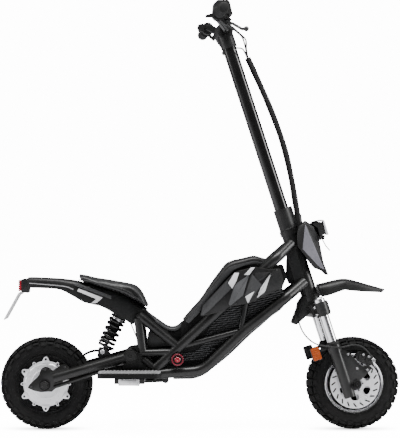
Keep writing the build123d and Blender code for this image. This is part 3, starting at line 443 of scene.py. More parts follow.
frame_paint = finish("frame_paint", grey(0.0035), grey(0.006), 0.33, 0.42, grain=0.02, grain_scale=1500.0,
    coat=0.1, dust=0.05)
stem_paint = finish("stem_paint", grey(0.0025), grey(0.004), 0.2, 0.28, grain=0.01, grain_scale=1500.0,
    coat=0.3)
fork_paint = finish("fork_paint", grey(0.008), grey(0.013), 0.3, 0.4, grain=0.08, grain_scale=1400.0,
    dust=0.05)
black_moulding = finish("black_moulding", grey(0.004), grey(0.008), 0.36, 0.5, grain=0.2, grain_scale=1100.0,
    dust=0.05)
deep_black = finish("deep_black", grey(0.0015), grey(0.003), 0.5, 0.65, grain=0.3, grain_scale=900.0,
    specular=0.2)
cover_grey = finish("cover_grey", grey(0.027, -0.02), grey(0.038, -0.02), 0.4, 0.5, grain=0.2,
    grain_scale=1300.0, coat=0.1)
cover_dark = finish("cover_dark", grey(0.009), grey(0.014), 0.4, 0.52, grain=0.25, grain_scale=1300.0)
cover_mid = finish("cover_mid", grey(0.055, -0.02), grey(0.075, -0.02), 0.38, 0.48, grain=0.2,
    grain_scale=1300.0)
facet_violet = finish("facet_violet", (0.12, 0.118, 0.135, 1), (0.15, 0.147, 0.166, 1), 0.36, 0.46, grain=0.2,
    grain_scale=1300.0)
pale_moulding = finish("pale_moulding", grey(0.2), grey(0.25), 0.42, 0.55, grain=0.25, grain_scale=1200.0)
stripe_white = finish("stripe_white", grey(0.66), grey(0.74), 0.35, 0.45, grain=0.1)
seat_skin = finish("seat_skin", grey(0.011, -0.02), grey(0.018, -0.02), 0.36, 0.48, grain=0.4,
    grain_scale=700.0, specular=0.45)
tyre_rubber = finish("tyre_rubber", grey(0.004), grey(0.008), 0.6, 0.78, grain=0.5, grain_scale=600.0,
    dust=0.04, specular=0.14)
grip_rubber = finish("grip_rubber", grey(0.004), grey(0.007), 0.6, 0.75, grain=0.5, grain_scale=800.0,
    specular=0.25)
cast_silver = finish("cast_silver", grey(0.8), grey(0.9), 0.26, 0.4, metal=0.45, grain=0.25,
    grain_scale=500.0)
bright_lip = finish("bright_lip", grey(0.84), grey(0.92), 0.12, 0.2, metal=1.0, stretch=(40.0, 900.0, 40.0),
    grain=0.06)
hard_chrome = finish("hard_chrome", grey(0.86), grey(0.92), 0.05, 0.1, metal=1.0, stretch=(30.0, 30.0, 600.0),
    grain=0.03)
brushed_steel = finish("brushed_steel", grey(0.5), grey(0.62), 0.22, 0.36, metal=1.0,
    stretch=(300.0, 30.0, 300.0), grain=0.2)
dark_steel = finish("dark_steel", grey(0.03), grey(0.05), 0.3, 0.42, metal=0.6, grain=0.15)
spring_enamel = finish("spring_enamel", grey(0.002), grey(0.003), 0.1, 0.18, coat=0.4)
hose_rubber = finish("hose_rubber", grey(0.006), grey(0.009), 0.35, 0.5, grain=0.15)
red_lens = finish("red_lens", (0.26, 0.001, 0.012, 1), (0.36, 0.002, 0.02, 1), 0.14, 0.22, coat=0.3,
    grain=0.1)
red_ring = finish("red_ring", (0.11, 0.001, 0.01, 1), (0.16, 0.002, 0.016, 1), 0.25, 0.35, coat=0.2,
    grain=0.1)
orange_lens = finish("orange_lens", (0.3, 0.042, 0.0, 1), (0.38, 0.058, 0.0, 1), 0.3, 0.42, coat=0.05,
    grain=0.5, grain_scale=420.0)
lamp_white = finish("lamp_white", grey(0.62), grey(0.7), 0.2, 0.3, coat=0.4, grain=0.05)
screen_glass = finish("screen_glass", grey(0.01), grey(0.014), 0.05, 0.08, coat=1.0)
blank_plate = finish("blank_plate", grey(0.7), grey(0.78), 0.35, 0.45, grain=0.1)


def refinish(material, *names):
    """Give CAD nodes that keep their own shape a finish."""
    for name in names:
        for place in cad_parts[name].material_slots:
            place.material = material

# what often goes together: body, finish and slot
MOULDED = ("frame", black_moulding, "dark_plastic")
HIDDEN = ("frame", deep_black, "dark_plastic")
CABLE = (hose_rubber, "cable_black")


# ------------------------------------------------------------------ camera, light and floor
def make_studio():
    """A long lens at the right side, three soft boxes and a pale floor with a painted contact shadow under
    each tyre.
    """
    distance, view_height = 5600.0, 1357.8
    middle_x, middle_z = 1.2, 649.8
    backdrop = 14.0                      # strength of the world and the floor as the camera sees them
    camera = bpy.data.cameras.new("camera")
    camera.sensor_fit = "VERTICAL"
    camera.sensor_height = 36.0
    camera.lens = camera.sensor_height * distance / view_height
    camera.clip_end = 100.0
    eye = bpy.data.objects.new("camera", camera)
    eye.location = (middle_x * MM, -distance * MM, middle_z * MM)
    eye.rotation_euler = (math.radians(90), 0, 0)
    bpy.context.scene.collection.objects.link(eye)
    bpy.context.scene.camera = eye

    def soft_box(name, place, aim, size, power):
        lamp = bpy.data.lights.new(name, "AREA")
        lamp.shape = "RECTANGLE"
        lamp.size, lamp.size_y = size
        lamp.energy = power
        holder = bpy.data.objects.new(name, lamp)
        holder.location = place
        way = np.array(aim) - np.array(place)
        holder.rotation_euler = Vector(way.tolist()).to_track_quat("-Z", "Y").to_euler()
        bpy.context.scene.collection.objects.link(holder)

    soft_box("top_light", (0.1, -0.9, 3.3), (0, 0, 0.4), (2.6, 1.2), 190)
    soft_box("front_light", (3.3, -0.7, 1.5), (0.2, 0, 0.5), (0.8, 2.4), 110)
    soft_box("side_light", (-3.2, -0.5, 1.5), (-0.1, 0, 0.4), (0.8, 2.4), 80)

    world = bpy.data.worlds.new("studio")
    world.use_nodes = True
    sky = world.node_tree
    rays = sky.nodes.new("ShaderNodeLightPath")
    level = node(sky, "ShaderNodeMix", [(0, rays.outputs["Is Camera Ray"])])
    level.inputs[2].default_value, level.inputs[3].default_value = 0.16, backdrop
    sky.links.new(level.outputs[0], sky.nodes["Background"].inputs["Strength"])
    sky.nodes["Background"].inputs["Color"].default_value = (1, 1, 1, 1)
    bpy.context.scene.world = world

    # a flat floor, wide enough to run out of sight
    side = np.linspace(-30.0, 30.0, 9)
    pts = np.stack([*np.meshgrid(side, side, indexing="ij"), np.zeros((9, 9))], -1)
    points, faces = grid(pts)
    mesh = bpy.data.meshes.new("floor")
    mesh.from_pydata(points.tolist(), [], faces)
    mesh.shade_smooth()
    pale = finish("studio_floor", grey(0.9), grey(0.92), 0.6, 0.7)
    tree = pale.node_tree
    spot = node(tree, "ShaderNodeTexCoord").outputs["Object"]
    shades = []
    for contact in (AXLE_X * MM, -AXLE_X * MM):
        # painted contact shadow where a tyre stands: an ellipse of 0.17 m by 0.10 m round the contact
        near = node(tree, "ShaderNodeMapping", [("Vector", spot)], vector_type="TEXTURE")
        near.inputs["Location"].default_value = (contact, 0.0, 0.0)
        near.inputs["Scale"].default_value = (0.17, 0.10, 1.0)
        shades.append(node(tree, "ShaderNodeTexGradient", [("Vector", near.outputs[0])],
            gradient_type="SPHERICAL"))
    shade = node(tree, "ShaderNodeMath", [(0, shades[0].outputs[1]), (1, shades[1].outputs[1])],
        operation="MAXIMUM")
    # the floor's camera-only glow, dimmed towards 0.12 inside each ellipse: a painted contact shadow
    glow_less_painted_shadow = node(tree, "ShaderNodeMapRange", [("Value", shade.outputs[0])], interpolation_type="SMOOTHSTEP")
    glow_less_painted_shadow.inputs["To Min"].default_value, glow_less_painted_shadow.inputs["To Max"].default_value = backdrop, 0.12
    paths = node(tree, "ShaderNodeLightPath")
    lift = node(tree, "ShaderNodeMath", [(0, paths.outputs["Is Camera Ray"]), (1, glow_less_painted_shadow.outputs[0])],
        operation="MULTIPLY")
    principled = tree.nodes["Principled BSDF"]
    principled.inputs["Emission Color"].default_value = (1, 1, 1, 1)
    tree.links.new(lift.outputs[0], principled.inputs["Emission Strength"])
    mesh.materials.append(pale)
    floor = bpy.data.objects.new("floor", mesh)
    bpy.context.scene.collection.objects.link(floor)


make_studio()


# ------------------------------------------------------------------ cords first: they cross the joints
def spline_through(points, fineness=24):
    """Points read from a NURBS spline of order 3 that has the route's points as its control points."""
    curve = bpy.data.curves.new("route", "CURVE")
    curve.dimensions = "3D"
    curve.resolution_u = fineness
    spline = curve.splines.new("NURBS")
    spline.points.add(len(points) - 1)
    for knot, place in zip(spline.points, points):
        knot.co = (place[0], place[1], place[2], 1.0)
    spline.order_u = 3
    spline.use_endpoint_u = True
    holder = bpy.data.objects.new("route", curve)
    bpy.context.scene.collection.objects.link(holder)
    bpy.context.view_layer.update()
    mesh = bpy.data.meshes.new_from_object(holder)
    flat = np.zeros(len(mesh.vertices) * 3, np.float32)
    mesh.vertices.foreach_get("co", flat)
    bpy.data.objects.remove(holder)
    bpy.data.meshes.remove(mesh)
    return flat.reshape(-1, 3).astype(float)


def evenly(path, step):
    """The same line with its points an equal step apart, by linear interpolation over arc length."""
    run = np.concatenate([[0.0], np.cumsum(np.linalg.norm(np.diff(path, axis=0), axis=1))])
    at = np.linspace(0.0, run[-1], max(4, int(run[-1] / step)))
    return np.stack([np.interp(at, run, path[:, k]) for k in range(3)], 1), at


def braided(points, radius, lift=0.9, strands=6, pitch=26.0):
    """A sleeve whose radius rises by lift where strands cross: the larger of two sines, one wound
    each way."""
    path, at = evenly(spline_through(points), 1.5)
    a = full_turn(48)
    along = 2 * math.pi * at / pitch * strands / 2
    wave = np.maximum(np.sin(strands * a[None, :] + along[:, None]), np.sin(strands * a[None, :] - along[:,
        None]))
    lump = 0.35 * np.sin(at / 23.0)[:, None]
    r = (radius - lift + lift * wave + lump)[:, :, None]
    return carried(path, r, a)


SLEEVE_ROUTE = ((150, 6, 1150), (186, 4, 1072), (224, 0, 984), (262, 0, 880), (285, 0, 780), (299, 0, 690),
    (306, 0, 652))
HOSE_LOOP = ((310, -30, 392), (298, -34, 366), (299, -46, 330), (312, -66, 294), (340, -88, 266),
    (376, -96, 258), (401.7, -94.5, 256))
HOSE_LOWER = ((402, -94.48, 255.98), (418, -93.55, 254.73), (440, -91, 258), (464, -87, 264), (490, -80, 258),
    (512, -75, 238), (526, -72, 216))
CONTROL_ROUTES = (((82, -170, 1222), (106, -150, 1205), (128, -110, 1196), (138, -60, 1190), (142, -22, 1172),
    (150, -1, 1150)), ((82, 170, 1222), (108, 150, 1204), (130, 110, 1194), (140, 64, 1188), (144, 28, 1172),
    (150, 13, 1150)), ((52, -150, 1242), (78, -128, 1228), (108, -92, 1216), (128, -52, 1206),
    (140, -14, 1184), (150, 6, 1150)))
MOTOR_ROUTE = ((-400, 52, 190), (-370, 58, 222), (-330, 54, 240), (-300, 40, 236), (-268, 36, 246))


def tube_on(points, radius, sides=16):
    """A round cable on the route's own spline."""
    return pipe(evenly(spline_through(points), 2.0)[0], radius, sides)


def crossing(name, shape, material, slot, node_name, body_a, body_b, start, end):
    """A steered cord between two bodies, put on neither and fixed where it lies; start and end, given
    straight ahead in mm, are not used.
    """
    piece = add(name, shape, None, material, slot, (node_name,), steered=True)
    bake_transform(piece)
    return piece


crossing("cable_sleeve_braid", braided(SLEEVE_ROUTE, 9.5), grip_rubber, "cable_black", "cable_sleeve",
    "steering", "frame", (190, 0, 1065), (300, 0, 690))
crossing("brake_hose_loop_line", tube_on(HOSE_LOOP, 2.5), *CABLE, "brake_hose_loop", "steering", "fork_lower",
    (300, -40, 350), (385, -96, 258))
add("brake_hose_lower_line", tube_on(HOSE_LOWER, 2.5), "fork_lower", *CABLE, ("brake_hose_lower",))
add("control_cable_lines", join(*[tube_on(r, 2.5) for r in CONTROL_ROUTES]), "steering", *CABLE,
    ("control_cables",))
boot = pipe(evenly(spline_through(((309, 0, 612), (308, 0, 632), (306, 0, 645), (305, 0, 664))), 3.0)[0],
    np.linspace(13.5, 11.0, 17), 32)
add("sleeve_boot", boot, "frame", black_moulding, "rubber", steered=True)
add("motor_lead", tube_on(MOTOR_ROUTE, 4.0), "swingarm", *CABLE, ("motor_cable",))
add("lamp_lead", tube_on(((-238, 40, 372), (-222, 43, 340), (-205, 45, 300), (-190, 46, 262),
    (-186, 45, 240)), 2.0), "frame", *CABLE)


# ------------------------------------------------------------------ wheels
def on_tyre(angle, section, height, centre):
    """Point on the tyre: section runs -1..1 across its section ellipse, height is
    along the ellipse's normal, and no point is further out than the tyre's own radius."""
    t = section * math.pi / 2
    y = CASING_HALF * np.sin(t)
    r = CASING_R + CASING_RISE * np.sign(np.cos(t)) * np.abs(np.cos(t)) ** 0.62
    ny, nr = np.sin(t) / CASING_HALF, np.cos(t) / CASING_RISE
    size = np.sqrt(ny ** 2 + nr ** 2)
    y, r = y + height * ny / size, np.minimum(r + height * nr / size, TYRE_R)
    return np.stack([centre[0] + r * np.cos(angle), y, centre[1] + r * np.sin(angle)], -1)


def tread_block(angle, width, low, high, height, centre, skew=0.0):
    """One rubber block: a 4-corner foot on the casing, the same corners at nearly full height, and
    a smaller crown."""
    rings = []
    for rise, shrink in ((-1.5, 1.0), (height * 0.82, 0.93), (height, 0.8)):
        half, mid, reach = width / 2 * shrink, (low + high) / 2, (high - low) / 2 * shrink
        corner = np.array([[-1, -1], [0, -1.0], [1, -1], [1, 0], [1, 1], [0, 1], [-1, 1], [-1, 0]], float)
        section = mid + corner[:, 1] * reach
        rings.append(on_tyre(angle + corner[:, 0] * half + skew * corner[:, 1], section, rise, centre))
    return capped(np.stack(rings))


def tread(centre, count=34):
    """Rows of blocks: two staggered in the middle, one on each shoulder, and a lug down each side."""
    step = 2 * math.pi / count
    blocks = []
    for k in range(count):
        a = k * step
        long = k % 2
        for side in (-1, 1):
            near, far = sorted((side * 0.03, side * 0.30))
            blocks.append(tread_block(a + side * step * 0.13, step * 0.8, near, far, 5.6, centre,
                0.012 * side))
            near, far = sorted((side * 0.34, side * (0.66 if long else 0.6)))
            blocks.append(tread_block(a + step * 0.13 * side, step * 0.84, near, far, 7.6, centre,
                0.012 * side))
            near, far = sorted((side * 0.68, side * (0.93 if long else 0.82)))
            blocks.append(tread_block(a + step * 0.13 * side, step * (0.72 if long else 0.8), near, far, 4.6,
                centre))
    return join(*blocks)


def casing(centre):
    """The tyre's body: the section ellipse, a step and fine rings on each side wall, and a bead at
    the rim."""
    t = np.linspace(-1, 1, 41) * math.pi / 2
    y = CASING_HALF * np.sin(t)
    r = CASING_R + CASING_RISE * np.abs(np.cos(t)) ** 0.62
    wall = [(-33.0, 91.0), (-36.5, 92.0), (-38.5, 95.0), (-40.6, 98.5), (-42.0, 100.0), (-42.0, 101.5),
        (-42.9, 103.0), (-43.6, 104.0), (-43.6, 105.5), (-43.0, 106.3)]
    hollow = [(33.0, 91.0), (27.0, 93.0), (34.0, 110.0), (20.0, 125.0), (-20.0, 125.0), (-34.0, 110.0),
        (-27.0, 93.0)]
    outer = wall + list(zip(y.tolist(), r.tolist())) + [(-a, b) for a, b in wall[::-1]][:-1]
    return lathe(outer + hollow, centre, 144)


for end, centre in (("front", FRONT), ("rear", REAR)):
    wheel = end + "_wheel"
    add(end + "_tyre_casing", casing(centre), wheel, tyre_rubber, "tyre", (end + "_tyre",), sharp=40)
    add(end + "_tyre_tread", tread(centre), wheel, tyre_rubber, "tyre", sharp=28)


def around(shape, centre, count, start=0.0):
    """The shape repeated evenly round an axle."""
    return join(*[turn_about(shape, centre, start + 2 * math.pi * k / count) for k in range(count)])


# front rim: bright outer ring, black well, and a dished centre with six windows
add("front_rim_ring", lathe([(-33, 92.3), (-37, 92), (-38.5, 90), (-38, 86.5), (-35.5, 82.8), (-30, 81.8),
    (30, 81.8), (35.5, 82.8), (38, 86.5), (38.5, 90), (37, 92), (33, 92.3)], FRONT, 144), "front_wheel",
    bright_lip, "silver_cast", ("front_rim",), sharp=40)
add("front_rim_well", lathe([(-33, 84), (-33, 82), (-20, 76), (20, 76), (33, 82), (33, 84)], FRONT, 96),
    "front_wheel", deep_black, "dark_plastic", sharp=40)


def dish(radius_in, radius_out, y_in, y_out, thick, window_low, window_high, count, share):
    """A dished disc in polar form: y falls as a half cosine from hub to edge, and windows are the
    cells left out."""
    u = np.concatenate([np.linspace(radius_in, window_low, 3), np.linspace(window_low, window_high, 8)[1:],
        np.linspace(window_high, radius_out, 3)[1:]])
    k = (u - radius_in) / (radius_out - radius_in)
    y = y_in + (y_out - y_in) * (1 - np.cos(math.pi * k)) / 2
    shapes = []
    step = 2 * math.pi / count
    rim_low, rim_high = 2, 2 + 7
    for s in range(count):
        mid = s * step
        narrow = share * (0.75
            + 0.35 * np.cos(math.pi * (u - window_low) / (window_high - window_low) / 2)) * step / 2
        full = np.full_like(u, step / 2)
        half = np.where((np.arange(len(u)) >= rim_low) & (np.arange(len(u)) <= rim_high), narrow, full)
        v = np.linspace(-1, 1, 9)
        a = mid + half[:, None] * v[None, :]
        front = np.stack([FRONT[0] + u[:, None] * np.cos(a), np.broadcast_to(y[:, None], a.shape), FRONT[1]
            + u[:, None] * np.sin(a)], -1)
        back = front + np.array([0.0, thick, 0.0])
        loop = np.concatenate([front, back[:, ::-1]], axis=1)
        shapes.append(capped(loop))
    return join(*shapes)


add("front_rim_dish", mirrored(dish(24, 80.5, -30, -20, 5, 40, 70, 6, 0.6)), "front_wheel", cast_silver,
    "silver_cast", sharp=30)
# painted shade: two black discs, one between the brake disc and the dish and one in the wheel's middle, so
# the slots and windows show dark
add("front_rim_painted_shade", join(lathe([(-36, 56), (-36, 80), (-34, 80), (-34, 56)], FRONT, 96),
    lathe([(-4, 30), (-4, 79), (4, 79), (4, 30)], FRONT, 96)), "front_wheel", deep_black, "dark_plastic",
    sharp=40)
add("front_hub", join(lathe([(-44, 19), (-44, 27), (-41, 29), (-30, 30), (-8, 33), (8, 33), (30, 30),
    (41, 29), (44, 27), (44, 19)], FRONT, 64)), "front_wheel", cast_silver, "silver_cast", sharp=35)
add("disc_bolts", around(socket_screw((FRONT[0] + 24, -51.0, FRONT[1]), (0, -1, 0), 2.6, 2.2), FRONT, 6),
    "front_wheel", dark_steel, "steel")

# rear motor: cast shell with an inner step, six pointed ears with holes, and small bosses between them
add("motor_shell", lathe([(-46, 9), (-53, 12), (-53, 24), (-50.5, 25), (-50.5, 40), (-52.5, 41.5),
    (-52.5, 45), (-50, 46.5), (-49, 62), (-47, 64), (-46.5, 68), (-43, 70), (43, 70), (46.5, 68), (47, 64),
    (49, 62), (50, 46.5), (52.5, 45), (52.5, 41.5), (50.5, 40), (50.5, 25), (53, 24), (53, 12), (46, 9)],
    REAR, 120), "rear_wheel", cast_silver, "silver_cast", ("hub_motor",), sharp=30)


def ear(reach, half, tip, y_low, y_high):
    """A rounded pointed ear on the motor's edge, drawn pointing forward."""
    base = 64.0
    outline = [(REAR[0] + base, REAR[1] - half), (REAR[0] + reach - 3, REAR[1] - tip),
        (REAR[0] + reach, REAR[1] - tip * 0.4), (REAR[0] + reach, REAR[1] + tip * 0.4),
        (REAR[0] + reach - 3, REAR[1] + tip), (REAR[0] + base, REAR[1] + half)]
    return plate(rounded(outline, 5.0, 5), y_low, y_high, 1.2)


def ear_hole(reach, radius, y):
    """The dark mouth of an ear's bolt hole, with its bolt head set in."""
    return socket_screw((REAR[0] + reach - radius - 4, y, REAR[1]), (0, -1, 0), radius, 1.2)


sky = math.pi / 2
add("motor_ears", mirrored(join(around(ear(84, 14, 6.5, -49.5, -42), REAR, 6, sky),
    around(ear(77, 6, 4.5, -49, -42), REAR, 6, sky + math.pi / 6))), "rear_wheel", cast_silver, "silver_cast",
    sharp=30)
add("motor_ear_bolts", mirrored(join(around(ear_hole(84, 3.6, -49.3), REAR, 6, sky),
    around(ear_hole(78, 2.6, -48.8), REAR, 6, sky + math.pi / 6))), "rear_wheel", dark_steel, "steel")
add("motor_ribs", mirrored(around(plate([(REAR[0] + 48, REAR[1] - 1.2), (REAR[0] + 61, REAR[1] - 1.2),
    (REAR[0] + 61, REAR[1] + 1.2), (REAR[0] + 48, REAR[1] + 1.2)], -51, -48, 0.5), REAR, 24)), "rear_wheel",
    cast_silver, "silver_cast")
add("rear_rim_band", lathe([(-33, 91.5), (-35.5, 91), (-36, 88), (-33, 84), (-28, 80), (-26, 69), (26, 69),
    (28, 80), (33, 84), (36, 88), (35.5, 91), (33, 91.5)], REAR, 120), "rear_wheel", deep_black,
    "dark_plastic", sharp=40)

# ------------------------------------------------------------------ covers on the frame
add("top_cover_shell", arch([(-52, 341, -44, 331, 50), (-30, 367, -16, 358, 58), (1.2, 401.4, 12, 392, 62),
    (24, 435, 38, 424, 62), (47.2, 468.9, 62, 452, 62), (66, 493.5, 78, 468, 62), (80.9, 511.8, 92, 480, 61),
    (99.3, 521, 108, 497, 60), (130, 528, 134, 505.5, 58), (166.8, 536.3, 168, 513, 55),
    (190, 531, 186, 512, 50), (205, 527, 196, 509.5, 44)], power=5.0, around=32, per_run=4, hollow=0.35),
    "frame", cover_dark, "satin_cover", ("top_cover",), sharp=24)
top_band = [(-44, 336), (-22, 366), (8, 399), (32, 432), (56, 462), (72, 484), (90, 502), (106, 508),
    (168, 522), (194, 516), (190, 510), (168, 512), (134, 505), (108, 495), (84, 472), (7, 383), (0, 362),
    (-33, 329)]
add("top_cover_cheeks", mirrored(plate(rounded(top_band, 3), -65.0, -59.0, 1.5)), "frame", cover_grey,
    "satin_cover", sharp=24)


add("inner_panels", join(plate([(-60, 262), (-56, 330), (-44, 338), (6, 388), (86, 476), (108, 500),
    (134, 510), (168, 518), (200, 512), (236, 498), (120, 440), (20, 335), (-40, 262)], -56, 56, 1),
    plate([(-176, 368), (-166, 368), (-131, 334), (-107, 317), (-86, 309), (-66, 312), (-46, 332), (-40, 300),
    (-60, 262), (-100, 280), (-140, 318), (-178, 346)], -42, 42, 1), plate([(284, 566), (269, 522),
    (268, 470), (276, 450), (318, 446), (326, 520), (306, 570)], -30, 30, 2),
    plate([(-158, 256), (-60, 262), (60, 262), (70, 225), (20, 184), (-60, 178), (-140, 180), (-152, 222)],
    -44, 44, 1)), *HIDDEN)


def side_panel(outline, face, depth, bevel=1.2, corner=1.5):
    """A raised panel on both side covers: an outline in the side view, standing out to face from
    depth behind it."""
    return mirrored(plate(rounded(outline, corner, 3), -face, -face + depth, bevel))


side_outline = [(2, 352), (8, 386), (84, 466), (112, 491), (168, 505), (210, 497), (245.4, 500.2),
    (257.6, 460.5), (248.5, 439.1), (153.8, 393.4), (92.8, 382), (60, 366)]
add("side_cover_shells", side_panel(side_outline, 104, 8, 3.0, 5.0), *MOULDED, ("side_covers",), sharp=24)
SIDE_PIECES = (("side_wedge_panels", cover_grey, "light_cover", (([(3, 357), (10, 385), (84, 463), (96, 438),
    (30, 372), (12, 358)], 106.5, 4),)), ("side_centre_panels", cover_mid, "light_cover",
    (([(113.7, 455.2), (151, 481), (131.9, 417), (92.4, 385.3), (88, 392), (106, 446)], 107.5, 5),)),
    ("side_front_panels", cover_grey, "light_cover", (([(159.3, 482.6), (138.5, 419), (147.1, 393),
    (174.5, 430.9), (189.7, 449.1)], 108, 5),)), ("side_facet_panels", cover_dark, "dark_plastic",
    (([(168.4, 485.6), (217.1, 488.6), (189.7, 464.3), (168.4, 455.2)], 106.5, 4),
    ([(220.1, 488.6), (244.5, 497.8), (253.6, 461.3), (250.5, 440), (204.9, 427.8), (198.5, 431)], 106.5,
    4))), ("side_stripes", stripe_white, "light_cover", (([(87, 455), (106, 486), (120, 486), (112, 462),
    (99, 438)], 107.6, 3, 0.6, 1.0), ([(136, 480), (156, 502), (168, 503), (150, 479)], 107.2, 3, 0.6, 1.0),
    ([(139, 414), (147.1, 393), (167, 430), (156, 424)], 109, 3, 0.6, 1.0),
    ([(217, 485.7), (199, 429), (174, 409), (186, 440), (194, 452)], 108.4, 3, 0.6, 1.0))))
for name, material, slot, panels in SIDE_PIECES:
    add(name, join(*[side_panel(*panel) for panel in panels]), "frame", material, slot, sharp=24)


def crossings(outline, height):
    """Where a level line meets an outline's edges, from back to front."""
    p = np.asarray(outline, float)
    q = np.roll(p, -1, 0)
    hit = (p[:, 1] - height) * (q[:, 1] - height) < 0
    t = (height - p[hit, 1]) / (q[hit, 1] - p[hit, 1])
    return np.sort(p[hit, 0] + t * (q[hit, 0] - p[hit, 0]))


def grille(outline, slope, pitch=6.6, radius=1.9, face=62.0):
    """Wavy ribs at an even pitch inside an outline: height = level + slope x + a small sine,
    thinning in dashes."""
    p = np.asarray(outline, float)
    level = p.copy()
    level[:, 1] -= slope * p[:, 0]
    ribs = []
    low, high = level[:, 1].min(), level[:, 1].max()
    for k, height in enumerate(np.arange(low + pitch / 2, high, pitch)):
        ends = crossings(level, height)
        for start, stop in zip(ends[::2] + 2, ends[1::2] - 2):
            if stop - start < 8:
                continue
            x = np.arange(start, stop, 1.6)
            wave = 0.5 * np.sin(x / 4.0 + k * math.pi)
            dash = np.clip(0.9 + 0.3 * np.sin(x / 4.0 + k * math.pi + 1.2), 0.65, 1.0)
            dash[[0, -1]] = 0.1
            line = np.stack([x, np.full_like(x, -face), height + slope * x + wave], 1)
            ribs.append(pipe(line, radius * dash, 8))
    return join(*ribs)


GRILLES = (([(150, 392), (252, 440), (262, 424), (150, 338), (136, 328)], 0.22),
    ([(-8, 236), (40, 258), (132, 300), (140, 360), (146, 390), (90, 380), (30, 322)], 0.12),
    ([(-64, 212), (18, 222), (60, 262), (0, 250), (-60, 236)], 0.1))
add("grille_backs", mirrored(join(*[plate(rounded(g, 2.5, 3), -62.0, -60.4, 0.4) for g, _ in GRILLES])),
    *HIDDEN, ("side_grilles",))
add("grille_ribs", mirrored(join(*[grille(g, s) for g, s in GRILLES])), "frame", cover_mid, "dark_plastic")

belly = [(268, 402, 274, 398, 30), (252, 392, 250, 369, 44), (216, 364, 222, 349, 54),
    (180, 332, 188, 319, 57), (140, 296, 154, 290, 57), (88, 250, 93, 231, 57), (34, 202, 38, 187, 57),
    (14, 186, 16, 170, 56), (-16, 170, -17, 157.6, 54), (-50, 166, -50, 156, 52), (-82, 164, -80, 155.4, 48)]
add("belly_shell", arch([(b, c, a, d, w) for a, d, b, c, w in belly], power=4.0, per_run=4), *MOULDED,
    ("belly_pan",), sharp=24)
add("spine_saddle", arch([(-162, 364, -168, 356, 36), (-127, 339, -131, 329, 43), (-104, 323, -107, 313, 44),
    (-86, 317, -86, 306, 44), (-70, 321, -66, 310, 44), (-56, 332, -48, 328, 42)], power=4.0, per_run=5),
    "frame", cover_grey, "satin_cover", ("spine_cover",), sharp=24)


def shell_of(corners, facets, seam):
    """A faceted shell, its other half, and faces joining their seams; facets and seam name the
    corners (x, y, z)."""
    order = list(corners)
    points = np.array([corners[n] for n in order], float)
    faces = [tuple(order.index(n) for n in facet) for facet in facets]
    right = points * np.array([1.0, -1.0, 1.0])
    verts = np.concatenate([right, points])
    count = len(order)
    polys = faces + [tuple(i + count for i in f[::-1]) for f in faces]
    ring = [order.index(n) for n in seam]
    polys += [(a, b, b + count, a + count) for a, b in zip(ring, ring[1:] + ring[:1])]
    return verts, polys


cowl_corners = {"R0": (327, 30, 645), "R1": (307, 40, 628), "R2": (301.6, 43, 608), "R3": (300, 44, 566),
    "R4": (356, 36, 497), "R5": (377, 28, 489), "R6": (389, 14, 477), "F0": (399, 8, 477),
    "F1": (383, 18, 517), "F2": (371, 24, 576), "F3": (366, 30, 610), "F4": (358, 32, 622),
    "A": (324, 44, 637), "B": (315.2, 49, 557.5), "C": (370.6, 40, 499), "D": (386, 30, 492.8)}
cowl_facets = (("R0", "R1", "A"), ("R1", "R2", "A"), ("R2", "R3", "B", "A"), ("A", "B", "C", "D"),
    ("B", "R3", "R4", "C"), ("C", "R4", "R5"), ("C", "R5", "R6", "D"), ("D", "R6", "F0"),
    ("A", "D", "F0", "F1"), ("A", "F1", "F2"), ("A", "F2", "F3"), ("A", "F3", "F4"), ("A", "F4", "R0"))
cowl_seam = ("R0", "R1", "R2", "R3", "R4", "R5", "R6", "F0", "F1", "F2", "F3", "F4")
cowl = add("cowl_shell", shell_of(cowl_corners, cowl_facets, cowl_seam), "frame", cover_dark, "dark_plastic",
    ("front_cowl",), sharp=10)


def soften(piece, width, segments=2):
    """Round a faceted piece's edges by a width in mm."""
    bevel = piece.modifiers.new("edges", "BEVEL")
    bevel.width = width * MM
    bevel.segments = segments
    bevel.limit_method = "ANGLE"
    bevel.angle_limit = math.radians(12)
    return piece


soften(cowl, 1.4)
facet_plate = np.array([cowl_corners[n] for n in ("A", "B", "C", "D")], float)
facet_middle = facet_plate.mean(0)
face_rings = [facet_middle + (facet_plate - facet_middle) * s + np.array([0.0, lift, 0.0]) for s,
    lift in ((0.97, -2.0), (0.97, 0.9), (0.94, 1.5))]
soften(add("cowl_side_faces", mirrored(capped(np.stack(face_rings))), "frame", facet_violet, "light_cover",
    sharp=10), 0.4)

# headlight: black housing, clear lens over top and face, and a plug below
light_body = [(341, 636), (353, 625), (362, 621), (366, 585), (375, 584), (378, 600), (389, 604), (380, 640),
    (360, 643)]
add("headlight_case", plate(rounded(light_body, 3), -34, 34, 3), *MOULDED, ("headlight_housing",))
light_lens = [(342, 639.5), (360, 645.5), (376.3, 648.2), (384.1, 646.7), (398, 601.8), (391.5, 600),
    (389, 606), (380.5, 642.5), (360, 643.5)]
add("headlight_glass", plate(rounded(light_lens, 1.2, 3), -36, 36, 1.0), "frame", lamp_white, "clear_lens",
    ("headlight_lens",))
add("headlight_plug", join(plate(rounded([(372, 600), (374, 588), (386, 586), (388, 600)], 2), -14, 14, 1.5),
    pipe([(380, 6, 588), (392, 6, 566), (404, 6, 552)], 1.8, 10)), *HIDDEN)

# ------------------------------------------------------------------ seat and tail


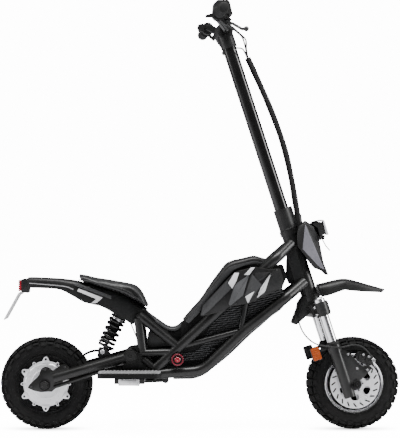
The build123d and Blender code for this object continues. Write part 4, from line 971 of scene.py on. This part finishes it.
def swollen(piece, cell=4.5, cap=3.0):
    """Fill a pad: an even mesh, twenty steps of cloth under an inner pressure, each point moved no
    further than cap."""
    scene = bpy.context.scene

    def settled():
        scene.view_layers[0].update()
        return bpy.data.meshes.new_from_object(piece.evaluated_get(bpy.context.evaluated_depsgraph_get()))

    even = piece.modifiers.new("even_mesh", "REMESH")
    even.mode = "VOXEL"
    even.voxel_size = cell * MM
    mesh = settled()
    piece.modifiers.clear()
    piece.data = mesh
    rest = np.zeros(len(mesh.vertices) * 3, np.float32)
    mesh.vertices.foreach_get("co", rest)
    cloth = piece.modifiers.new("filling", "CLOTH")
    cloth.settings.use_pressure = True
    cloth.settings.uniform_pressure_force = 4.0
    cloth.settings.effector_weights.gravity = 0.0
    cloth.point_cache.frame_start, cloth.point_cache.frame_end = 1, 20
    for step in range(1, 21):
        scene.frame_set(step)
    full = settled()
    moved = np.zeros(len(full.vertices) * 3, np.float32)
    full.vertices.foreach_get("co", moved)
    piece.modifiers.clear()
    scene.frame_set(1)
    move = (moved - rest).reshape(-1, 3)
    far = np.linalg.norm(move, axis=1, keepdims=True)
    move *= np.minimum(1.0, cap * MM / np.maximum(far, 1e-9))
    mesh.vertices.foreach_set("co", (rest.reshape(-1, 3) + move).ravel())
    mesh.update()
    mesh.shade_smooth()
    bpy.data.meshes.remove(full)
    finer = piece.modifiers.new("finer", "SUBSURF")
    finer.levels = finer.render_levels = 1
    return piece


seat_pad_skin = add("seat_pad_skin", arch([(-377, 477.7, -364, 456, 46), (-350, 472.5, -346, 455, 54),
    (-324.5, 466, -328, 451, 59), (-270, 457.5, -285, 438, 62), (-213.9, 447, -235, 421, 62),
    (-192.4, 437.8, -206, 406, 60), (-177, 419.4, -186, 394, 57), (-164.7, 391.7, -172, 383, 54),
    (-158.6, 380, -161, 375, 50)], power=3.2, around=40, per_run=6), "frame", seat_skin, "seat_vinyl",
    ("seat_pad",), sharp=40)
swollen(seat_pad_skin)
seam = smooth_line([(-371, -49, 463), (-325, -61, 456), (-270, -65, 445), (-220, -65.5, 428),
    (-197, -64, 411), (-178, -60, 395), (-166, -55, 384)], 8)
add("seat_pad_piping", mirrored(pipe(seam, 1.7, 10)), "frame", black_moulding, "seat_vinyl")
tail_line = [(-531, 465, -530, 440, 30), (-526, 470, -522, 437.8, 34), (-475, 468, -475, 436.3, 38),
    (-428.9, 465.5, -428.9, 431.7, 42), (-380, 459, -392, 414, 46), (-350, 451, -356, 394, 48),
    (-331, 449, -328, 387, 48), (-290, 437, -300, 380, 48), (-247, 424.5, -262, 359, 48),
    (-206, 404.5, -228, 339, 48), (-180, 386.5, -206, 326, 46), (-162, 372, -196, 338, 42)]
add("tail_shell", arch(tail_line, power=5.0, around=32, per_run=5, hollow=0.4), *MOULDED, ("tail_body",),
    sharp=24)


def side_strip(points, height, face, lift=2.0, bevel=0.7):
    """A thin moulding along a line on both sides of the tail: the line given a height, standing out
    from a face."""
    p = smooth_line([(x, 0, z) for x, z in points], 5)[:, [0, 2]]
    along = np.gradient(p, axis=0)
    along /= np.linalg.norm(along, axis=1, keepdims=True)
    across = np.stack([-along[:, 1], along[:, 0]], 1) * height / 2
    return mirrored(plate(np.vstack([p + across, (p - across)[::-1]]), -face - lift, -face + 3, bevel))


add("tail_rail_strips", join(*[side_strip([(-383, 454 - k), (-330, 434.5 - k), (-272, 412 - k)], 2.4, 48)
    for k in (0.0, 3.6, 7.2)]), "frame", cover_mid, "light_cover")
add("tail_silver_strips", join(side_strip([(-524, 453), (-470, 448.5), (-415, 443), (-388, 434)], 3.2, 44,
    3.5)), "frame", brushed_steel, "silver_cast")
add("tail_stripes", join(side_panel([(-372, 436), (-298, 408), (-316, 392), (-336, 389), (-318, 404),
    (-376, 428)], 50.2, 3, 0.5, 1.0)), "frame", stripe_white, "light_cover")
# painted shade: a black panel on each side of the tail stands for the dark inside the hand-hold
add("hand_hold_painted_shade", side_panel([(-244, 437), (-212, 438), (-194, 424), (-186, 409), (-198, 412),
    (-224, 427)], 61.0, 7, 1.2, 3.0), *HIDDEN)
add("tail_lamp_case", plate(rounded([(-550, 464), (-550, 425), (-528, 421), (-524, 466)], 3), -31, 31, 2),
    *MOULDED)
lamp_ribs = [plate([(-559, 460.5 - 5.8 * k), (-549.5, 461.5 - 5.8 * k), (-549.5, 456.5 - 5.8 * k),
    (-558.6, 455.8 - 5.8 * k)], -29, 29, 0.8) for k in range(6)]
add("tail_lamp_glass", join(*lamp_ribs), "frame", red_lens, "red_lens", ("tail_lamp_lens",))

# charge socket: a red drop-shaped ring round a red plug cap
sweep = np.linspace(-0.65 * math.pi, 0.85 * math.pi, 28)
drop = np.vstack([np.stack([SOCKET_X + 19 * np.cos(sweep), SOCKET_Z + 19 * np.sin(sweep)], 1), [(-91, 213)]])
add("charge_socket_body", plate(drop, -106, -97, 2.0), *HIDDEN, ("charge_port",))


def hoop(x, y, z, radius, wire):
    """A torus lying across: out = radius + wire cos b, at (out cos a, wire sin b, out sin a) from
    the centre."""
    a, b = full_turn(60)[:, None], full_turn(12)[None, :]
    out = radius + wire * np.cos(b)
    return grid(np.stack([x + out * np.cos(a), y + wire * np.sin(b) * np.ones_like(a), z + out * np.sin(a)],
        -1), True, True)


add("charge_socket_ring", hoop(SOCKET_X, -106.5, SOCKET_Z, 16.5, 2.4), "frame", red_ring, "red_lens")
add("charge_socket_cap", spindle([(0, 8.5), (3.0, 8.5), (4.2, 7.2), (4.4, 4.0), (3.6, 3.0)],
    (SOCKET_X, -105, SOCKET_Z), (0, -1, 0), 32), "frame", red_lens, "red_lens")

# ---------------------------------------- mudguard, grips, reflectors, fork fittings
add("mudguard_shell", arch([(364, 448, 372, 408, 38), (382, 452, 388, 412, 43), (402, 457, 405, 417, 46),
    (425, 462, 425, 424, 46), (442.1, 464.8, 448.3, 430.9, 43), (463.7, 463.3, 470, 428, 39),
    (495, 455, 503.8, 424.7, 33), (525.4, 446.3, 536, 423, 26), (576.3, 432.4, 565.5, 421.6, 15)], power=3.4,
    around=32, per_run=6, hollow=0.55), "steering", black_moulding, "dark_plastic", ("front_mudguard",),
    sharp=28)
add("mudguard_blade", plate(rounded([(318, 412), (304, 392), (300, 372), (283, 329), (297, 322), (341, 362),
    (350, 385), (350, 405)], 4), -24, 24, 2.5), "steering", black_moulding, "dark_plastic")


def grip(side):
    """A moulded grip: eighteen rounded rings along it, a flange inside and a domed end."""
    y = np.linspace(196, 310, 109)
    r = 15.6 + 0.9 * np.abs(np.sin((y - 196) / 114 * math.pi * 18)) ** 0.6
    outer = [(192, 11.3), (192, 20.0), (193, 21.0), (195, 21.0), (196, 19.5)] + list(zip(y.tolist(),
        r.tolist()))
    outer += [(312.5, 14.5), (314, 11.5), (314, 0.05)]
    return lathe([(side * p, q) for p, q in outer] + [(side * 192, 0.05)], (BAR_X, BAR_Z), 40)


add("grip_sleeves", join(grip(-1), grip(1)), "steering", grip_rubber, "rubber", ("grips",), sharp=50)


def along_axis(outline, side_low, side_high, bevel):
    """A plate whose outline is given as (ahead, up) of the raked axis."""
    return plate([(on_axis(f, 0, u)[0], on_axis(f, 0, u)[2]) for f, u in outline], side_low, side_high, bevel)


def box_outline(ahead, up, half_ahead, half_up):
    """Four corners round a spot, as (ahead, up)."""
    return rounded([(ahead - half_ahead, up - half_up), (ahead + half_ahead, up - half_up),
        (ahead + half_ahead, up + half_up), (ahead - half_ahead, up + half_up)], 4.5, 5)


add("reflector_frames", join(*[along_axis(box_outline(REFLECTOR_AHEAD, REFLECTOR_UP, 14.5, 21.5),
    s * REFLECTOR_SIDE - 4, s * REFLECTOR_SIDE + 4, 1.5) for s in (-1, 1)],
    *[along_axis(box_outline(-22, 268, 15, 4.5), s * REFLECTOR_SIDE - 2, s * REFLECTOR_SIDE + 2, 0.8)
    for s in (-1, 1)]), "fork_lower", black_moulding, "dark_plastic", ("reflectors",))
prisms = [along_axis(box_outline(REFLECTOR_AHEAD, REFLECTOR_UP + 6.2 * k, 12.2, 2.95), -72.0, -69.0, 0.8)
    for k in (-2.5, -1.5, -0.5, 0.5, 1.5, 2.5)]
add("reflector_lenses", join(along_axis(box_outline(REFLECTOR_AHEAD, REFLECTOR_UP, 13, 20), -71.2, -68, 1.2),
    *prisms), "fork_lower", orange_lens, "orange_lens")

axis_way = np.array([-SIN_R, 0.0, COS_R])
add("crown_caps", pair(lambda s: spindle([(0, 13.5), (6, 13.5), (8.5, 11.5), (9.5, 7.0), (9.5, 4.0),
    (7.0, 3.6)], on_axis(STANCHION_AHEAD, STANCHION_SIDE * s, 414), axis_way, 32)), "steering", brushed_steel,
    "steel")
add("crown_bolts", join(*[socket_screw(on_axis(-9, side * 84, up), (-COS_R * 0.8, side * 0.6, -SIN_R * 0.8),
    4.2, 4.5) for side in (-1, 1) for up in (375, 398)], *[socket_screw(on_axis(-12, side * 40, 387),
    (-COS_R, 0, -SIN_R), 4.6, 4.5) for side in (-1, 1)]), "steering", brushed_steel, "steel")
add("leg_seals", pair(lambda s: spindle([(0, 20.8), (2, 21.3), (6, 21.3), (8, 20), (11, 18.5), (13, 15.6)],
    on_axis(STANCHION_AHEAD, STANCHION_SIDE * s, 271), axis_way, 40)), "fork_lower", grip_rubber, "rubber")
hub_side = (FRONT[0], -88, FRONT[1])
add("front_axle_nuts", mirrored(spindle([(0, 12.5), (3, 12.5), (4.2, 11), (4.2, 6.5), (9, 6.5), (9.8, 5.5)],
    hub_side, (0, -1, 0), 6)), "fork_lower", deep_black, "steel")
CALIPER_TURN = math.radians(70.0)


def by_disc(along, out):
    """Side-view point by the caliper: along the disc's edge and out from the axle, at the caliper's
    own angle."""
    c, s = math.cos(CALIPER_TURN), math.sin(CALIPER_TURN)
    return (FRONT[0] + out * c - along * s, FRONT[1] + out * s + along * c)


caliper_face = [by_disc(*p) for p in ((-27, 71), (-20, 66), (14, 67), (27, 74), (31, 86), (25, 98),
    (-16, 101), (-29, 92))]
caliper_bridge = [by_disc(*p) for p in ((-20, 79.5), (20, 79.5), (23, 97), (-15, 100))]
arm_plate = [(424, 226), (424, 250), (452, 238), (470, 216), (489, 197), (511, 200), (522, 191), (498, 166),
    (478, 148), (450, 142)]
add("caliper_arm", plate(rounded(arm_plate, 4), -80.5, -75.0, 1.0), "fork_lower", fork_paint, "black_paint",
    ("brake_caliper",))
add("caliper_block", join(plate(rounded(caliper_face, 6, 5), -72.5, -52.6, 2.4),
    plate(rounded(caliper_bridge, 4), -60.0, -44.0, 1.2), *[spindle([(0, 10.5), (2.4, 10.5), (3.4, 9.4),
    (3.6, 6.0), (2.6, 5.2)], (*by_disc(k, 82)[:1], -72.2, by_disc(k, 82)[1]), (0, -1, 0), 36)
    for k in (-12, 12)]), "fork_lower", black_moulding, "dark_plastic")
add("caliper_bolts", join(*[socket_screw((x, y, z), (0, -1, 0), 4.2, 4.0) for x, y,
    z in ((495, -74, 232), (512, -74, 226), (506, -80, 186), (474, -80, 190), (446, -80, 234))],
    spindle([(0, 6.8), (5, 6.8), (6, 5.4)], (527, -69, 215), (0, -1, 0), 6)), "fork_lower", brushed_steel,
    "steel")
add("headset_ring", spindle([(0, 24), (0.4, 26.6), (3.2, 27.0), (4.4, 26.0), (4.6, 22)], on_axis(0, 0, 648.1),
    axis_way, 64), "steering", black_moulding, "dark_plastic")

# ------------------------------------------------------------------ swingarm, shock and frame fittings
add("pivot_covers", mirrored(spindle([(0, 18), (5, 18), (7.5, 16.5), (8.5, 13), (8.5, 6), (7.6, 5.4)],
    (PIVOT[0], -96, PIVOT[1]), (0, -1, 0), 48)), *MOULDED)
add("dropout_nuts", mirrored(spindle([(0, 13.5), (5, 13.5), (6.5, 12), (6.5, 8), (13, 8), (14, 7)],
    (REAR[0], -90, REAR[1]), (0, -1, 0), 6)), "swingarm", black_moulding, "steel")
add("dropout_plates", mirrored(plate(rounded([(-526, 134), (-518, 146), (-492, 170), (-484, 192), (-472, 199),
    (-460, 196), (-448, 186), (-425, 204), (-410, 206), (-398, 196), (-408, 176), (-425, 160), (-444, 148),
    (-448, 132), (-462, 122), (-485, 121), (-505, 125)], 4, 4), -84.5, -79.5, 1.2)), "swingarm", frame_paint,
    "black_paint")
add("dropout_bolts", mirrored(join(*[socket_screw((x, -84.0, z), (0, -1, 0), 3.6, 2.2) for x,
    z in ((-514, 136), (-472, 190), (-412, 197))])), "swingarm", dark_steel, "steel")
add("shock_bolts", pair(lambda s: socket_screw((SHOCK_TOP[0], 40 * s, SHOCK_TOP[1]), (0, s, 0), 7.5, 4.5)),
    "frame", brushed_steel, "steel")
add("shock_lower_bolts", pair(lambda s: socket_screw((SHOCK_LOW[0], 25 * s, SHOCK_LOW[1]), (0, s, 0), 7.5,
    4.5)), "swingarm", brushed_steel, "steel")
down = np.array([SHOCK_LOW[0] - SHOCK_TOP[0], 0.0, SHOCK_LOW[1] - SHOCK_TOP[1]])
down /= np.linalg.norm(down)
fins = [(14.0, 17.0)]
for k in range(4):
    fins += [(23.0 + 3 * k, 19.0), (24.6 + 3 * k, 19.0), (24.8 + 3 * k, 16.8), (25.8 + 3 * k, 16.8)]


def coil_spring(turns=5.5, mean=21.5, wire=5.0, low=22.0, high=114.0):
    """A wire carried round a helix on the shock's own line; its rise eases by a small sine, so the
    end coils lie flat."""
    a = np.linspace(0, 2 * math.pi * turns, int(turns * 40))
    share = a / a[-1]
    rise = low + wire + (high - low - 2 * wire) * (share - 0.045 * np.sin(2 * math.pi * share))
    side = np.cross(down, [0.0, 1.0, 0.0])
    line = np.array([SHOCK_TOP[0], 0.0, SHOCK_TOP[1]]) + rise[:, None] * down
    return pipe(line + mean * (np.cos(a)[:, None] * side + np.sin(a)[:, None] * np.array([0.0, 1.0, 0.0])),
        wire, 14)


spring = add("shock_spring_coil", coil_spring(), "shock_body", spring_enamel, "spring_black",
    ("shock_spring",))
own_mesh(spring)
add("shock_adjuster", spindle([(14.0, 12.0)] + fins + [(35.2, 16.8)], (SHOCK_TOP[0], 0, SHOCK_TOP[1]), down,
    40), "shock_body", brushed_steel, "steel")
add("controller_fins", join(*[plate(rounded([(-157, 296 - 0.1 * k), (-150, 309), (-100, 309), (-82, 274),
    (-156, 264)], 2), y - 1.1, y + 1.1, 0.4) for k, y in enumerate(range(-54, 55, 6))]), *MOULDED)
board = rounded([(-306, 100), (-118, 100), (-118, 188), (-306, 188)], 20, 8)


def flat_plate(outline, z_low, z_high, bevel):
    """An outline in plan carried up from z_low to z_high."""
    points, faces = plate(outline, z_low, z_high, bevel)
    return points[:, [0, 2, 1]], faces


ridges = [flat_plate(rounded([(x, 106), (x + 4, 106), (x + 4, 182), (x, 182)], 1.6, 3), 187.4, 190.0, 0.7)
    for x in np.arange(-292, -128, 10.5)]
add("footboard_mats", mirrored(join(flat_plate(board, 183.5, 188.4, 1.2), *ridges)), "frame", pale_moulding,
    "rubber")
add("under_brackets", mirrored(join(plate(rounded([(-244, 169), (-244, 149), (-181, 149), (-181, 169)], 2),
    -179.5, -120, 1.5), plate(rounded([(-236, 165), (-236, 153), (-189, 153), (-189, 165)], 2), -181.5, -178,
    0.8))), "frame", cast_silver, "silver_cast")
cover_screws = [(20, 384), (96, 472), (160, 497), (236, 492), (240, 446), (110, 392)]
add("cover_screws", mirrored(join(*[socket_screw((x, -104.5, z), (0, -1, 0), 3.2, 1.8) for x,
    z in cover_screws])), "frame", dark_steel, "steel")

# ---------------------------------------- finishes of the CAD nodes that keep their shape
refinish(frame_paint, "head_tube", "frame_sides", "frame_cross_tubes", "swingarm", "kickstand")
refinish(stem_paint, "stem_tube", "handlebar")
refinish(black_moulding, "stem_collar", "bar_clamp", "display", "lever_perches", "control_housings",
    "throttle_lever", "stand_bracket", "controller")
refinish(deep_black, "battery_case", "battery_pack", "footboards", "horn_button")
refinish(fork_paint, "fork_legs", "fork_crown")
refinish(hard_chrome, "stanchions")
refinish(cast_silver, "brake_disc")
refinish(deep_black, "front_axle", "rear_axle", "shock_body")
refinish(dark_steel, "headset_bearings", "pivot_axle", "shock_rod", "wheel_bearings", "brake_lever_right",
    "brake_lever_left")
refinish(screen_glass, "display_screen")
refinish(blank_plate, "plate_carrier")
